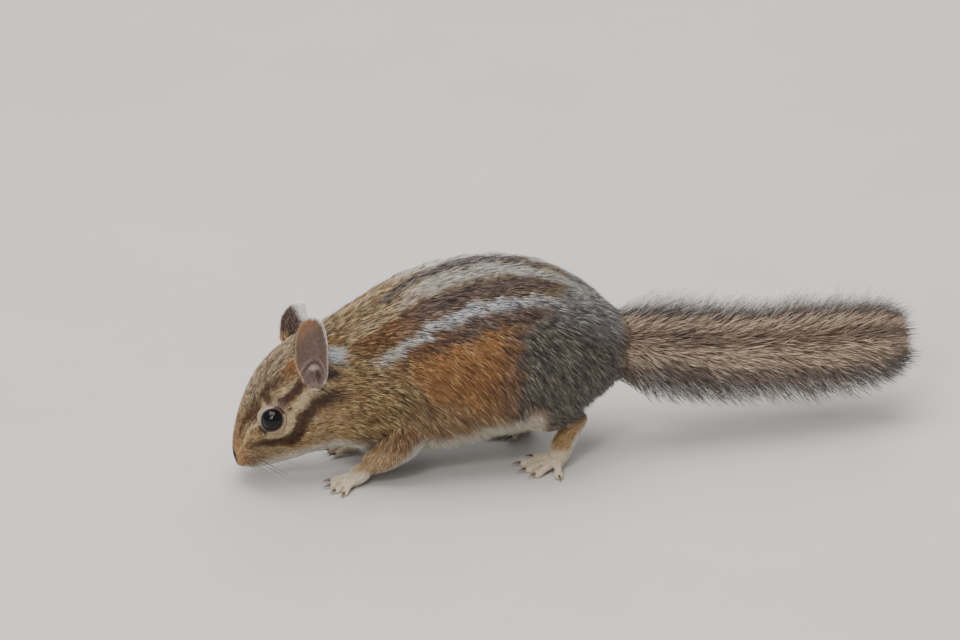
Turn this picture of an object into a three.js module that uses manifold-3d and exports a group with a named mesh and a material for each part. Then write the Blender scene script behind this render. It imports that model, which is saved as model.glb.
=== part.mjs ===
// A life-size western chipmunk, standing on all fours with its nose close to the ground and its tail held
// straight out behind. Millimetres, +Z up, nose towards -X, the animal's left side towards -Y.
// Every outline is that of the coat's surface. The group is set with the middle of its base at the origin.
import * as THREE from "three";
import { LoftGeometry } from "three/addons/geometries/LoftGeometry.js";
import { mergeVertices } from "three/addons/utils/BufferGeometryUtils.js";
import Module from "manifold-3d";

const wasm = await Module();
wasm.setup();

// Clearance between neighbours that touch
const GAP = 0.3;
// Corners closer than this become one
const SNAP = 0.002;
// Number of points round the body, and of rings from nose to tail root
const BODY_SIDES = 24;
const BODY_RINGS = 50;
// Number of points round the egg of flesh at the top of a leg, and from its top to its foot
const EGG_SIDES = 14;
const EGG_RINGS = 9;
// A slab this wide and tall reaches across the body anywhere
const SLAB = 90;
// Share of a tube's length over which each end is rounded off, and its smallest radius
const ROUNDED = 0.1;
const FINEST = 0.12;
// The smallest volume that is a part of the body, and not a sliver left by a cut, in mm3
const SMALLEST_PART = 500;

// Side view of head, neck and trunk as pairs of points on back and belly, with half the width there. Lean
// above 0 puts the widest place below the middle, and below 0 above it.
const BODY = [
  { at: "nose pad", top: [-75.7, 9.4], bottom: [-75.3, 6.8], half: 1.5, lean: 0 },
  { at: "nostrils", top: [-75.9, 12.2], bottom: [-74.3, 5.3], half: 3.0, lean: 0 },
  { at: "lips", top: [-75.5, 15.8], bottom: [-71.8, 4.3], half: 4.4, lean: 0.05 },
  { at: "muzzle", top: [-74.8, 20.0], bottom: [-68.2, 4.0], half: 5.8, lean: 0.1 },
  { at: "bridge", top: [-73.2, 25.4], bottom: [-63.0, 4.6], half: 7.6, lean: 0 },
  { at: "eyes", top: [-70.3, 32.0], bottom: [-57.0, 6.0], half: 10.2, lean: -0.05 },
  { at: "brow", top: [-65.8, 38.4], bottom: [-51.0, 7.4], half: 12.2, lean: -0.05 },
  { at: "crown", top: [-58.6, 44.2], bottom: [-45.5, 7.8], half: 13.2, lean: 0.05 },
  { at: "nape", top: [-48.0, 49.6], bottom: [-39.5, 6.6], half: 14.6, lean: 0.12 },
  { at: "shoulders", top: [-35.0, 56.6], bottom: [-30.5, 4.8], half: 18.0, lean: 0.12 },
  { at: "withers", top: [-20.5, 62.9], bottom: [-19.0, 4.0], half: 21.2, lean: 0.12 },
  { at: "ribs", top: [-4.0, 65.5], bottom: [-5.0, 5.9], half: 23.8, lean: 0.1 },
  { at: "loins", top: [13.0, 63.6], bottom: [9.5, 8.0], half: 24.6, lean: 0.06 },
  { at: "hips", top: [28.0, 56.9], bottom: [22.5, 9.4], half: 22.6, lean: 0 },
  { at: "rump", top: [38.8, 47.4], bottom: [34.0, 13.4], half: 17.2, lean: 0 },
  { at: "tail root", top: [45.0, 40.6], bottom: [43.4, 23.4], half: 8.6, lean: 0 },
];
// Where the body is parted, as places in the list above
const HEAD_END = 7.55;
const NECK_END = 9.35;

// Places where flesh lifts the surface, on both sides: middle, reach and push, with Y as for the right side
const SWELLS = [
  { of: "whisker pad", at: [-72.2, 4.6, 9.6], reach: 4.6, push: [-0.3, 1.0, 0] },
  { of: "cheek pouch", at: [-56.5, 12.6, 16.5], reach: 10.5, push: [0, 2.0, 0] },
  { of: "brow ridge", at: [-66.6, 8.2, 28.6], reach: 5.0, push: [-0.4, 0.7, 0.6] },
  { of: "eye hollow", at: [-65.6, 10.4, 22.4], reach: 6.0, push: [0.3, -0.9, 0] },
  { of: "shoulder", at: [-27.0, 18.5, 30.0], reach: 17.0, push: [0, 2.2, 0] },
  { of: "haunch", at: [23.0, 21.5, 34.0], reach: 19.0, push: [0, 2.6, 0] },
];

// Eyes, lids, nostrils and mouth
const EYE = { at: [-65.4, 7.8, 22.6], radius: 3.7, facing: [-0.33, 0.9, 0.28] };
const LID = { radius: 3.35, thickness: 0.85, lift: 1.75 };
const NOSTRIL = { at: [-75.9, 1.55, 9.3], radii: [1.5, 0.55, 0.8], splay: 24 };
const MOUTH = { from: 1.15, to: 3.1, middleTurn: 180, cornerTurn: 138, bow: 0.7, lip: 0.85, slit: 0.32 };

// Ear: root and tip of the leaf, the way its cup faces, its breadth and thickness, the depth of the cup with
// its growth towards the foot, how far tip and foot curl forward, and how square the leaf is
const EAR = {
  root: [-53.0, 11.0, 32.5],
  tip: { left: [-54.2, 12.2, 55.6], right: [-52.4, 14.4, 49.2] },
  facing: [-0.5, 0.86, 0.05],
  breadth: 9.6,
  thickness: 1.1,
  cup: 3.4,
  cupAtMiddle: 1.25,
  cupToTip: -0.45,
  tipCurl: 0.9,
  footCurl: 3.2,
  footFrom: 0.45,
  square: 0.3,
};

// Legs as middle lines with radii, for the right side
const FORELEG = {
  line: [[-24.0, 15.0, 22.0], [-27.0, 14.2, 15.0], [-32.4, 13.0, 9.2], [-38.2, 11.6, 5.4]],
  radii: [7.0, 6.4, 4.8, 3.4],
  shoulder: { at: [-24.5, 18.0, 27.0], radii: [9.5, 9.0, 16.0], lean: -14 },
};
const HINDLEG = {
  line: [[14.0, 16.0, 28.0], [11.5, 15.2, 23.6], [15.0, 15.6, 20.6], [22.0, 14.8, 18.8], [27.2, 13.6, 17.0]],
  radii: [8.0, 8.2, 7.2, 5.8, 4.2],
  haunch: { at: [21.0, 21.0, 31.0], radii: [17.0, 12.0, 18.5], lean: 22 },
};
// Feet: heel or wrist, ball, heading in degrees outwards from straight ahead, and the toes
const FOREPAW = {
  line: [[-37.0, 11.7, 5.8], [-40.0, 12.0, 3.5], [-43.2, 12.6, 1.5]],
  radii: [3.1, 3.4, 2.6],
  flatten: 0.8,
  heading: 20,
  toes: [
    { splay: -34, reach: 5.2, spread: -2.4 },
    { splay: -11, reach: 6.2, spread: -0.9 },
    { splay: 9, reach: 6.2, spread: 0.8 },
    { splay: 32, reach: 5.2, spread: 2.2 },
  ],
  toe: 1.05,
  claw: 2.6,
};
const HINDFOOT = {
  line: [[27.6, 13.4, 17.6], [24.8, 13.6, 12.0], [22.0, 14.0, 7.0], [19.6, 14.4, 2.2]],
  radii: [3.8, 3.8, 4.0, 3.4],
  flatten: 0.85,
  heading: 5,
  toes: [
    { splay: -46, reach: 6.8, spread: -2.4 },
    { splay: -14, reach: 10.2, spread: -1.7 },
    { splay: 4, reach: 9.8, spread: 0 },
    { splay: 22, reach: 8.8, spread: 1.7 },
    { splay: 76, reach: 6.8, spread: 2.4 },
  ],
  toe: 1.25,
  claw: 3.0,
};
// How far each right foot stands ahead of the left one
const STEP = { fore: -5.5, hind: 3 };

// Tail: middle line, core under the long hair, and the reach of the brush along its length
const TAIL = {
  line: [[44.6, 0, 32.0], [58, 0.2, 29.6], [76, 0.8, 26.8], [98, 1.2, 25.0], [118, 0.8, 24.6], [124, 0.6, 24.8]],
  core: [8.2, 6.6, 6.4, 6.0, 4.6, 2.2],
  coreThin: 0.82,
  reach: [13.0, 15.6, 17.4, 17.8, 14.8, 7.0],
  thin: 0.64,
  roll: 50,
  parts: ["tail_root", "tail_middle", "tail_brush", "tail_end"],
  firstRows: [0, 3, 5, 8],
  sides: 10,
  ring: 12,
  beforeRow: 1.6,
};
// Locks of the brush. At its two edges they turn their flat sides out of its plane by the twist.
const LOCK = {
  rows: 11,
  first: 0.05,
  last: 0.975,
  width: 6.8,
  thickness: 1.3,
  back: 14,
  sunk: 1.3,
  shape: [[0.36, 1.3], [0.8, 1.1], [1, 1], [0.74, 0.8], [0.08, 0.35]],
  twist: 48,
  spacing: 0.7,
  rise: 1.7,
  run: 1.25,
  seed: 13,
};

// Colours from the coat, as roughness-only materials
const COLOURS = {
  coat: 0x8a6a45,
  crown: 0x7d6a50,
  ear: 0x8d6f5b,
  leg: 0xb98a52,
  paw: 0xc3a77c,
  tail: 0x7c5c40,
  eye: 0x07070a,
};

const radians = THREE.MathUtils.degToRad;
const vector = (a) => new THREE.Vector3(...a);
const LEFT = -1;
const RIGHT = 1;
// A place or direction of the right side, turned over to the side asked for
const onSide = (a, side) => new THREE.Vector3(a[0], a[1] * side, a[2]);

// Solids from three.js geometry and back

function solid(geometry, snap = 1e-4) {
  const bare = geometry.index ? geometry.toNonIndexed() : geometry.clone();
  for (const name of Object.keys(bare.attributes)) if (name !== "position") bare.deleteAttribute(name);
  const merged = mergeVertices(bare, snap);
  const corners = merged.index.array;
  const kept = [];
  for (let i = 0; i < corners.length; i += 3) {
    const [a, b, c] = corners.subarray(i, i + 3);
    if (a !== b && b !== c && c !== a) kept.push(a, b, c);
  }
  const mesh = (triangles) =>
    new wasm.Mesh({
      numProp: 3,
      vertProperties: merged.attributes.position.array,
      triVerts: new Uint32Array(triangles),
    });
  const made = new wasm.Manifold(mesh(kept));
  return made.volume() > 0 ? made : new wasm.Manifold(mesh(kept.reverse()));
}

function geometryOf(made) {
  const mesh = made.getMesh();
  const geometry = new THREE.BufferGeometry();
  geometry.setAttribute("position", new THREE.BufferAttribute(new Float32Array(mesh.vertProperties), 3));
  geometry.setIndex(new THREE.BufferAttribute(new Uint32Array(mesh.triVerts), 1));
  geometry.computeVertexNormals();
  return geometry;
}

const loft = (sections) => solid(new LoftGeometry(sections, { capStart: true, capEnd: true }));
const join = (solids) => wasm.Manifold.union(solids);
const largest = (made) => made.decompose().sort((a, b) => b.volume() - a.volume())[0];

// Head, neck and trunk as one loft

const tops = new THREE.CatmullRomCurve3(BODY.map((s) => new THREE.Vector3(s.top[0], 0, s.top[1])));
const bottoms = new THREE.CatmullRomCurve3(BODY.map((s) => new THREE.Vector3(s.bottom[0], 0, s.bottom[1])));
const halves = new THREE.SplineCurve(BODY.map((s, i) => new THREE.Vector2(i, s.half)));
const leans = new THREE.SplineCurve(BODY.map((s, i) => new THREE.Vector2(i, s.lean)));

// Smooth fall from 1 at the middle of a swell to 0 at its reach
const fade = (distance, reach) => (distance < reach ? (1 - (distance / reach) ** 2) ** 2 : 0);

// The egg of flesh at the top of a leg
function legTop({ at, radii, lean }, side, thicker = 0) {
  const egg = new THREE.SphereGeometry(1, EGG_SIDES, EGG_RINGS).scale(...radii.map((r) => r + thicker));
  egg.rotateY(radians(lean));
  const middle = onSide(at, side);
  return solid(egg.translate(middle.x, middle.y, middle.z));
}

// The point of the body's surface at a place in the BODY list and a turn in radians from the back, towards +Y
function bodyPoint(place, turn, thicker = 0) {
  const t = place / (BODY.length - 1);
  const top = tops.getPoint(t);
  const bottom = bottoms.getPoint(t);
  const rise = top.clone().sub(bottom).divideScalar(2);
  const height = rise.length() + thicker;
  const half = halves.getPoint(t).y + thicker;
  const point = top.add(bottom).divideScalar(2).addScaledVector(rise.normalize(), height * Math.cos(turn));
  point.y += half * Math.sin(turn) * (1 - leans.getPoint(t).y * Math.cos(turn));
  for (const swell of SWELLS)
    for (const side of [LEFT, RIGHT]) {
      const share = fade(point.distanceTo(onSide(swell.at, side)), swell.reach);
      point.addScaledVector(onSide(swell.push, side), share);
    }
  return point;
}

function bodyLoft(thicker = 0) {
  const rings = [];
  for (let i = 0; i <= BODY_RINGS; i++) {
    const place = (i / BODY_RINGS) * (BODY.length - 1);
    const ring = [];
    for (let j = 0; j < BODY_SIDES; j++)
      ring.push(bodyPoint(place, (-j / BODY_SIDES) * 2 * Math.PI, thicker));
    rings.push(ring);
  }
  return loft(rings);
}

// A thin slab across the body at a place in the BODY list
function bodyCut(place) {
  const t = place / (BODY.length - 1);
  const top = tops.getPoint(t);
  const bottom = bottoms.getPoint(t);
  const slab = new THREE.BoxGeometry(GAP, SLAB, SLAB);
  slab.rotateY(Math.atan2(top.x - bottom.x, top.z - bottom.z));
  const middle = top.add(bottom).divideScalar(2);
  return solid(slab.translate(middle.x, 0, middle.z));
}

// Tubes of changing thickness along a smooth line

function tube(line, radii, { sides, rings, flatten = 1, across = [0, 1, 0], thicker = 0 }) {
  const path = new THREE.CatmullRomCurve3(line);
  const sizes = new THREE.SplineCurve(radii.map((r, i) => new THREE.Vector2(i, r)));
  const wide = vector(across);
  const sections = [];
  for (let i = 0; i <= rings; i++) {
    const t = i / rings;
    const end = Math.min(t, 1 - t) / ROUNDED;
    const round = end < 1 ? Math.sqrt(1 - (1 - end) ** 2) : 1;
    const radius = Math.max(sizes.getPoint(t).y * round, FINEST) + thicker;
    const ahead = path.getTangent(t);
    const up = ahead.clone().cross(wide).normalize();
    const aside = up.clone().cross(ahead).normalize();
    const centre = path.getPoint(t);
    const ring = [];
    for (let j = 0; j < sides; j++) {
      const turn = ((j + 0.5) / sides) * 2 * Math.PI;
      ring.push(
        centre
          .clone()
          .addScaledVector(aside, radius * Math.cos(turn))
          .addScaledVector(up, radius * flatten * Math.sin(turn)),
      );
    }
    sections.push(ring);
  }
  return loft(sections);
}

// Everything under the ground's level
const ground = solid(new THREE.BoxGeometry(400, 200, 20).translate(0, 0, -10));

// Eyes, lids, nostrils and mouth

const eyeBall = (side, thicker = 0) => {
  const at = onSide(EYE.at, side);
  const ball = new THREE.SphereGeometry(EYE.radius + thicker, 14, 9);
  return solid(ball.translate(at.x, at.y, at.z));
};

function lids(side) {
  const facing = onSide(EYE.facing, side).normalize();
  const ring = new THREE.TorusGeometry(LID.radius, LID.thickness, 6, 16);
  ring.applyQuaternion(new THREE.Quaternion().setFromUnitVectors(new THREE.Vector3(0, 0, 1), facing));
  const at = onSide(EYE.at, side).addScaledVector(facing, LID.lift);
  return solid(ring.translate(at.x, at.y, at.z));
}

function nostril(side) {
  const pit = new THREE.SphereGeometry(1, 10, 8).scale(...NOSTRIL.radii);
  pit.rotateZ(radians(NOSTRIL.splay) * side);
  const at = onSide(NOSTRIL.at, side);
  return solid(pit.translate(at.x, at.y, at.z));
}

// The line of the mouth, from the left corner under the nose to the right corner
function mouthLine() {
  const line = [];
  const steps = 5;
  for (let i = -steps; i <= steps; i++) {
    const share = Math.abs(i) / steps;
    const turn = THREE.MathUtils.lerp(MOUTH.middleTurn, MOUTH.cornerTurn, share ** MOUTH.bow);
    const place = THREE.MathUtils.lerp(MOUTH.from, MOUTH.to, share);
    line.push(bodyPoint(place, radians(turn) * (i < 0 ? -1 : 1)));
  }
  return line;
}

// Ears: a leaf bent into a cup, rounder at the foot

function ear(side) {
  const root = onSide(EAR.root, side);
  const along = onSide(side === LEFT ? EAR.tip.left : EAR.tip.right, side).sub(root);
  const half = along.length() / 2;
  along.normalize();
  const facing = onSide(EAR.facing, side);
  facing.addScaledVector(along, -facing.dot(along)).normalize();
  const across = along.clone().cross(facing);
  const leaf = new THREE.SphereGeometry(1, 22, 10).rotateX(Math.PI / 2);
  const spots = leaf.attributes.position;
  for (let i = 0; i < spots.count; i++) {
    const spot = new THREE.Vector3().fromBufferAttribute(spots, i);
    // Squared a little, so that the long edges run nearly parallel
    const squared = 1 + EAR.square * Math.abs(spot.x * spot.y);
    const sideways = spot.x * squared;
    const upwards = spot.y * squared;
    const cup = EAR.cup * (EAR.cupAtMiddle + EAR.cupToTip * upwards) * (sideways ** 2 - 0.5);
    const tip = EAR.tipCurl * Math.max(upwards, 0) ** 2;
    const foot = EAR.footCurl * (Math.max(-upwards - EAR.footFrom, 0) / (1 - EAR.footFrom)) ** 2;
    const point = root
      .clone()
      .addScaledVector(along, half * (1 + upwards))
      .addScaledVector(across, (EAR.breadth / 2) * sideways)
      .addScaledVector(facing, cup + tip + foot + (EAR.thickness / 2) * spot.z);
    spots.setXYZ(i, point.x, point.y, point.z);
  }
  return solid(leaf);
}

// Feet, with each toe and its claw as one tapering tube

function foot(plan, side, ahead) {
  const line = plan.line.map((p) => onSide(p, side).setX(p[0] - ahead));
  const ball = line[line.length - 1];
  const pieces = [tube(line, plan.radii, { sides: 10, rings: 6, flatten: plan.flatten })];
  const thick = plan.toe;
  for (const toe of plan.toes) {
    const heading = radians(plan.heading + toe.splay);
    const out = new THREE.Vector3(-Math.cos(heading), Math.sin(heading) * side, 0);
    const base = ball.clone().addScaledVector(new THREE.Vector3(0, side, 0), toe.spread);
    const at = (reach, height) => base.clone().addScaledVector(out, reach).setZ(height);
    // From the root in the foot over the knuckles to the pad, and on as the claw
    const bones = [
      at(-0.4 * toe.reach, thick * 2),
      at(0.12 * toe.reach, thick * 2),
      at(0.5 * toe.reach, thick * 1.6),
      at(0.84 * toe.reach, thick * 0.85),
      at(toe.reach, thick * 0.75),
      at(toe.reach + plan.claw * 0.6, thick * 0.7),
      at(toe.reach + plan.claw, thick * 0.2),
    ];
    const radii = [1.3, 1.2, 1, 1.1, 0.72, 0.4, 0.12].map((r) => r * thick);
    pieces.push(tube(bones, radii, { sides: 5, rings: 8, across: [out.y, -out.x, 0] }));
  }
  return join(pieces).subtract(ground);
}

// Tail: an oval core with overlapping locks of long hair

const tailLine = new THREE.CatmullRomCurve3(TAIL.line.map(vector));
const tailCore = new THREE.SplineCurve(TAIL.core.map((r, i) => new THREE.Vector2(i, r)));
const tailReach = new THREE.SplineCurve(TAIL.reach.map((r, i) => new THREE.Vector2(i, r)));

// The tail's own directions at a share of its length: ahead to the tip, wide and thin across the brush
function tailFrame(t) {
  const ahead = tailLine.getTangent(t);
  const up = new THREE.Vector3(0, 0, 1).addScaledVector(ahead, -ahead.z).normalize();
  const level = up.clone().cross(ahead).normalize();
  const roll = radians(TAIL.roll);
  const wide = level.clone().multiplyScalar(Math.cos(roll)).addScaledVector(up, Math.sin(roll));
  return { centre: tailLine.getPoint(t), ahead, wide, thin: ahead.clone().cross(wide) };
}

// Distance from the middle of an oval to its rim at a turn from its wide axis
const ovalReach = (wide, thin, turn) => 1 / Math.hypot(Math.cos(turn) / wide, Math.sin(turn) / thin);

function tailSection(t) {
  const { centre, wide, thin } = tailFrame(t);
  const ring = [];
  const size = tailCore.getPoint(t).y;
  for (let j = 0; j < TAIL.sides; j++) {
    const turn = (j / TAIL.sides) * 2 * Math.PI;
    ring.push(
      centre
        .clone()
        .addScaledVector(wide, size * Math.cos(turn))
        .addScaledVector(thin, size * TAIL.coreThin * Math.sin(turn)),
    );
  }
  return ring;
}

// One flat lock: rooted in the core, it leaves at a slant, bends back along the tail and tapers to a tip
function lock({ t, turn, reach, back }, thicker = 0) {
  const { centre, ahead, wide, thin } = tailFrame(t);
  const out = wide.clone().multiplyScalar(Math.cos(turn)).addScaledVector(thin, Math.sin(turn)).normalize();
  const across = out.clone().cross(ahead).normalize();
  const core = tailCore.getPoint(t).y;
  const start = ovalReach(core, core * TAIL.coreThin, turn) - LOCK.sunk;
  const sections = LOCK.shape.map(([wideShare, thickShare], i) => {
    const share = i / (LOCK.shape.length - 1);
    const rise = start + (reach - start) * (1 - (1 - share) ** LOCK.rise);
    const run = back * share ** LOCK.run;
    const middle = centre.clone().addScaledVector(out, rise).addScaledVector(ahead, run);
    const slope = Math.atan2((reach - start) * (1 - share) ** 0.7, back * Math.max(share, 0.2));
    const normal = out.clone().multiplyScalar(Math.cos(slope)).addScaledVector(ahead, -Math.sin(slope));
    const path = normal.clone().cross(across);
    const twist = radians(LOCK.twist) * Math.cos(turn) ** 2 * Math.min(share * 2, 1);
    normal.applyAxisAngle(path, twist);
    const sideways = across.clone().applyAxisAngle(path, twist);
    const half = (LOCK.width / 2) * wideShare + thicker;
    const thick = (LOCK.thickness / 2) * thickShare + thicker;
    return [
      middle.clone().addScaledVector(sideways, half).addScaledVector(normal, -thick),
      middle.clone().addScaledVector(normal, thick),
      middle.clone().addScaledVector(sideways, -half).addScaledVector(normal, -thick),
    ];
  });
  return loft(sections);
}

// Repeatable numbers from 0 to 1
function draws(seed) {
  let state = seed;
  return () => {
    state = (state * 1664525 + 1013904223) % 4294967296;
    return state / 4294967296;
  };
}

// The locks of one row, spaced evenly round the oval brush
function lockRow(t, row, draw) {
  const wideReach = tailReach.getPoint(t).y;
  const thinReach = wideReach * TAIL.thin;
  const around = Math.round((2 * Math.PI * Math.sqrt(wideReach * thinReach) * LOCK.spacing) / LOCK.width);
  const locks = [];
  for (let i = 0; i < around; i++) {
    const even = ((i + (row % 2) / 2 + 0.15 * draw()) / around) * 2 * Math.PI;
    const turn = Math.atan2(Math.sqrt(TAIL.thin) * Math.sin(even), Math.cos(even));
    const reach = ovalReach(wideReach, thinReach, turn) * (0.94 + 0.1 * draw());
    locks.push({ t, turn, reach, back: LOCK.back * (0.92 + 0.16 * draw()) });
  }
  return locks;
}

function tailParts() {
  const draw = draws(LOCK.seed);
  const length = tailLine.getLength();
  const rowPlace = (row) => THREE.MathUtils.lerp(LOCK.first, LOCK.last, row / (LOCK.rows - 1));
  const rows = [];
  for (let row = 0; row < LOCK.rows; row++) rows.push(lockRow(rowPlace(row), row, draw));
  // Each part is cut just before its first row of locks
  const cuts = TAIL.firstRows.map((row) => (row ? rowPlace(row) - TAIL.beforeRow / length : GAP / length));
  cuts.push(1);
  return TAIL.parts.map((name, k) => {
    const from = cuts[k] + GAP / 2 / length;
    const to = cuts[k + 1] - GAP / 2 / length;
    const rings = Math.ceil(((to - from) * length) / TAIL.ring);
    const sections = [];
    for (let i = 0; i <= rings; i++) sections.push(tailSection(THREE.MathUtils.lerp(from, to, i / rings)));
    const own = rows.slice(TAIL.firstRows[k], TAIL.firstRows[k + 1]).flat();
    const made = join([loft(sections), ...own.map((one) => lock(one))]);
    // Where its locks would cross those of the next part, they stay clear of them
    const next = TAIL.firstRows[k + 1] ?? LOCK.rows;
    const ahead = rows.slice(next, next + 2).flat();
    return { name, made: largest(made.subtract(join(ahead.map((one) => lock(one, GAP))))) };
  });
}

// Assembly

const group = new THREE.Group();

function add(name, made, colour, roughness = 0.9) {
  const material = new THREE.MeshStandardMaterial({ color: colour, roughness, metalness: 0 });
  // Corners closer than SNAP become one, and a sliver that this sets free is dropped
  const mesh = new THREE.Mesh(geometryOf(largest(solid(geometryOf(made), SNAP))), material);
  mesh.name = name;
  group.add(mesh);
}

const sides = [["left", LEFT, 0], ["right", RIGHT, 1]];
const lips = tube(mouthLine(), [MOUTH.lip, MOUTH.lip, MOUTH.lip], { sides: 5, rings: 10, across: [1, 0, 0] });
const slit = tube(mouthLine(), [MOUTH.slit, MOUTH.slit, MOUTH.slit], {
  sides: 5,
  rings: 10,
  across: [1, 0, 0],
  thicker: FINEST,
});
const faceAdded = sides.map(([, side]) => lids(side));
const faceCut = sides.flatMap(([, side]) => [eyeBall(side, GAP), nostril(side)]);
const trunk = bodyLoft();
const swollen = bodyLoft(GAP);
const limbs = [
  { limb: "foreleg", end: "forepaw", plan: FORELEG, footPlan: FOREPAW, top: FORELEG.shoulder, step: STEP.fore },
  { limb: "hindleg", end: "hindfoot", plan: HINDLEG, footPlan: HINDFOOT, top: HINDLEG.haunch, step: STEP.hind },
];
const legs = sides.flatMap(([word, side, isRight]) =>
  limbs.map(({ limb, end, plan, footPlan, top, step }) => {
    const ahead = step * isRight;
    // The foot's step fades out towards the hip or shoulder
    const last = plan.line.length - 1;
    const line = plan.line.map((p, i) => onSide(p, side).setX(p[0] - (ahead * i) / last));
    const legTube = (thicker) => tube(line, plan.radii, { sides: 12, rings: 9, thicker });
    const grown = join([legTube(GAP), legTop(top, side, GAP).intersect(swollen)]);
    return {
      name: limb + "_" + word,
      made: join([legTube(0), legTop(top, side).intersect(trunk)]),
      grown,
      footName: end + "_" + word,
      footMade: foot(footPlan, side, ahead).subtract(join([grown, swollen])),
    };
  }),
);
const body = join([trunk, lips, ...faceAdded]).subtract(
  join([slit, ...faceCut, bodyCut(HEAD_END), bodyCut(NECK_END), ...legs.map((leg) => leg.grown)]),
);
const [head, neck, torso] = body
  .decompose()
  .filter((piece) => piece.volume() > SMALLEST_PART)
  .sort((a, b) => a.boundingBox().min[0] - b.boundingBox().min[0]);
add("head", head, COLOURS.crown);
add("neck", neck, COLOURS.coat);
add("torso", torso, COLOURS.coat);
for (const [word, side] of sides) {
  add("eye_" + word, eyeBall(side), COLOURS.eye, 0.08);
  add("ear_" + word, largest(ear(side).subtract(swollen)), COLOURS.ear);
}
for (const leg of legs) {
  add(leg.name, leg.made, COLOURS.leg);
  add(leg.footName, leg.footMade, COLOURS.paw);
}
for (const { name, made } of tailParts()) add(name, made, COLOURS.tail);

// The middle of the base goes to the origin
const box = new THREE.Box3().setFromObject(group);
const middle = box.getCenter(new THREE.Vector3());
group.position.set(-middle.x, -middle.y, -box.min.z);

export default group;
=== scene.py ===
"""A life-size striped chipmunk on all fours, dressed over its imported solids.

Sizes are millimetres in the plan that the solids share: nose towards -X, the animal's left side towards -Y and
+Z up. A mesh is moved into the row frame, in metres, when it is made.
"""

import logging
import math
from dataclasses import dataclass
from enum import Enum, IntEnum

import bpy
import numpy as np
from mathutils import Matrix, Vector
from mathutils.kdtree import KDTree


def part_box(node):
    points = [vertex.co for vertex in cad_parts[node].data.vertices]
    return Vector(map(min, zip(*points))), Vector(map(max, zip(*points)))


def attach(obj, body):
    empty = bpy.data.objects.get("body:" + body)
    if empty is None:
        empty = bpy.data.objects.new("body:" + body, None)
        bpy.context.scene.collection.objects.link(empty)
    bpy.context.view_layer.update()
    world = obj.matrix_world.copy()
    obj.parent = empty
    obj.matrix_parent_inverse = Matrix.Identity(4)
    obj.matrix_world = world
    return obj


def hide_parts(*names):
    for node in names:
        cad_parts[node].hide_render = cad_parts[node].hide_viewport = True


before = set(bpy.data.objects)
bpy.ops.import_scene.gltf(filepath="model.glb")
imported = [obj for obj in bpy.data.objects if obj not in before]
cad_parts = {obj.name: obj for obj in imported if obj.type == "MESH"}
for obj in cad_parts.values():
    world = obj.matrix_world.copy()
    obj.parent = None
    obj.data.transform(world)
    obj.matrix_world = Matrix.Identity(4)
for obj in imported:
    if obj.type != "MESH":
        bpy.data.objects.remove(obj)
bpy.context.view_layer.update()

Array = np.ndarray
Draw = np.random.Generator
Object = bpy.types.Object
Socket = bpy.types.NodeSocket
log = logging.getLogger("chipmunk")

MM = 0.001
TURN = 2 * math.pi
LEFT, RIGHT = -1, 1
SIDES = {"left": LEFT, "right": RIGHT}
COLOURS = "Coat"


# Smooth lines and sizes


def unit(a: Array) -> Array:
    """Returns the vectors of an array at length 1."""
    return a / np.maximum(np.linalg.norm(a, axis=-1, keepdims=True), 1e-9)


def ease(low: float, high: float, value: Array) -> Array:
    """Returns a smooth rise from 0 at low to 1 at high."""
    share = np.clip((value - low) / (high - low), 0, 1)
    return share * share * (3 - 2 * share)


def bell(value: Array, middle: float, width: float) -> Array:
    """Returns a smooth hump that is 1 at its middle."""
    return np.exp(-(((value - middle) / width) ** 2))


def over(under: Array, top: Array, share: Array) -> Array:
    """Returns rows of numbers with others laid over them by a share for each row."""
    return under * (1 - share[:, None]) + top * share[:, None]


def on_side(a: tuple[float, ...], side: int) -> Array:
    """Returns a place or direction of the right side turned over to a side."""
    return np.array([a[0], a[1] * side, a[2]], float)


def bent(start: Array, end: Array, out: Array, into: Array, w: Array) -> Array:
    """Returns values on the way from start to end that leave and arrive with the slopes out and into.

    Args:
        start: Values to leave from.
        end: Values to reach.
        out: Slopes at the start.
        into: Slopes at the end.
        w: Shares of the way.

    Returns:
        One value for each share.
    """
    cube = 2 * start - 2 * end + out + into
    square = -3 * start + 3 * end - 2 * out - into
    return start + out * w + square * w**2 + cube * w**3


class Path:
    """A smooth line through points, bending as the solids' own lines do."""

    def __init__(self, knots: list | tuple) -> None:
        """Keeps the points and the two that stand beyond the ends.

        Args:
            knots: Points that the line passes through.
        """
        inner = np.array(knots, float)
        self.knots = np.vstack([2 * inner[0] - inner[1], inner, 2 * inner[-1] - inner[-2]])
        self.spans = len(inner) - 1

    def at(self, t: Array) -> Array:
        """Gives points of the line.

        Args:
            t: Shares of the way from 0 to 1.

        Returns:
            One point for each share.
        """
        place = np.clip(np.atleast_1d(np.asarray(t, float)), 0, 1) * self.spans
        i = np.minimum(place.astype(int), self.spans - 1)
        p0, p1, p2, p3 = (self.knots[i + k] for k in range(4))
        d0, d1, d2 = (
            np.maximum(np.linalg.norm(b - a, axis=1, keepdims=True) ** 0.5, 1e-4)
            for a, b in ((p0, p1), (p1, p2), (p2, p3))
        )
        out = ((p1 - p0) / d0 - (p2 - p0) / (d0 + d1) + (p2 - p1) / d1) * d1
        into = ((p2 - p1) / d1 - (p3 - p1) / (d1 + d2) + (p3 - p2) / d2) * d1
        return bent(p1, p2, out, into, (place - i)[:, None])

    def ahead(self, t: Array) -> Array:
        """Gives the directions of the line at shares of the way."""
        t = np.atleast_1d(np.asarray(t, float))
        return unit(self.at(t + 5e-4) - self.at(t - 5e-4))


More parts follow.
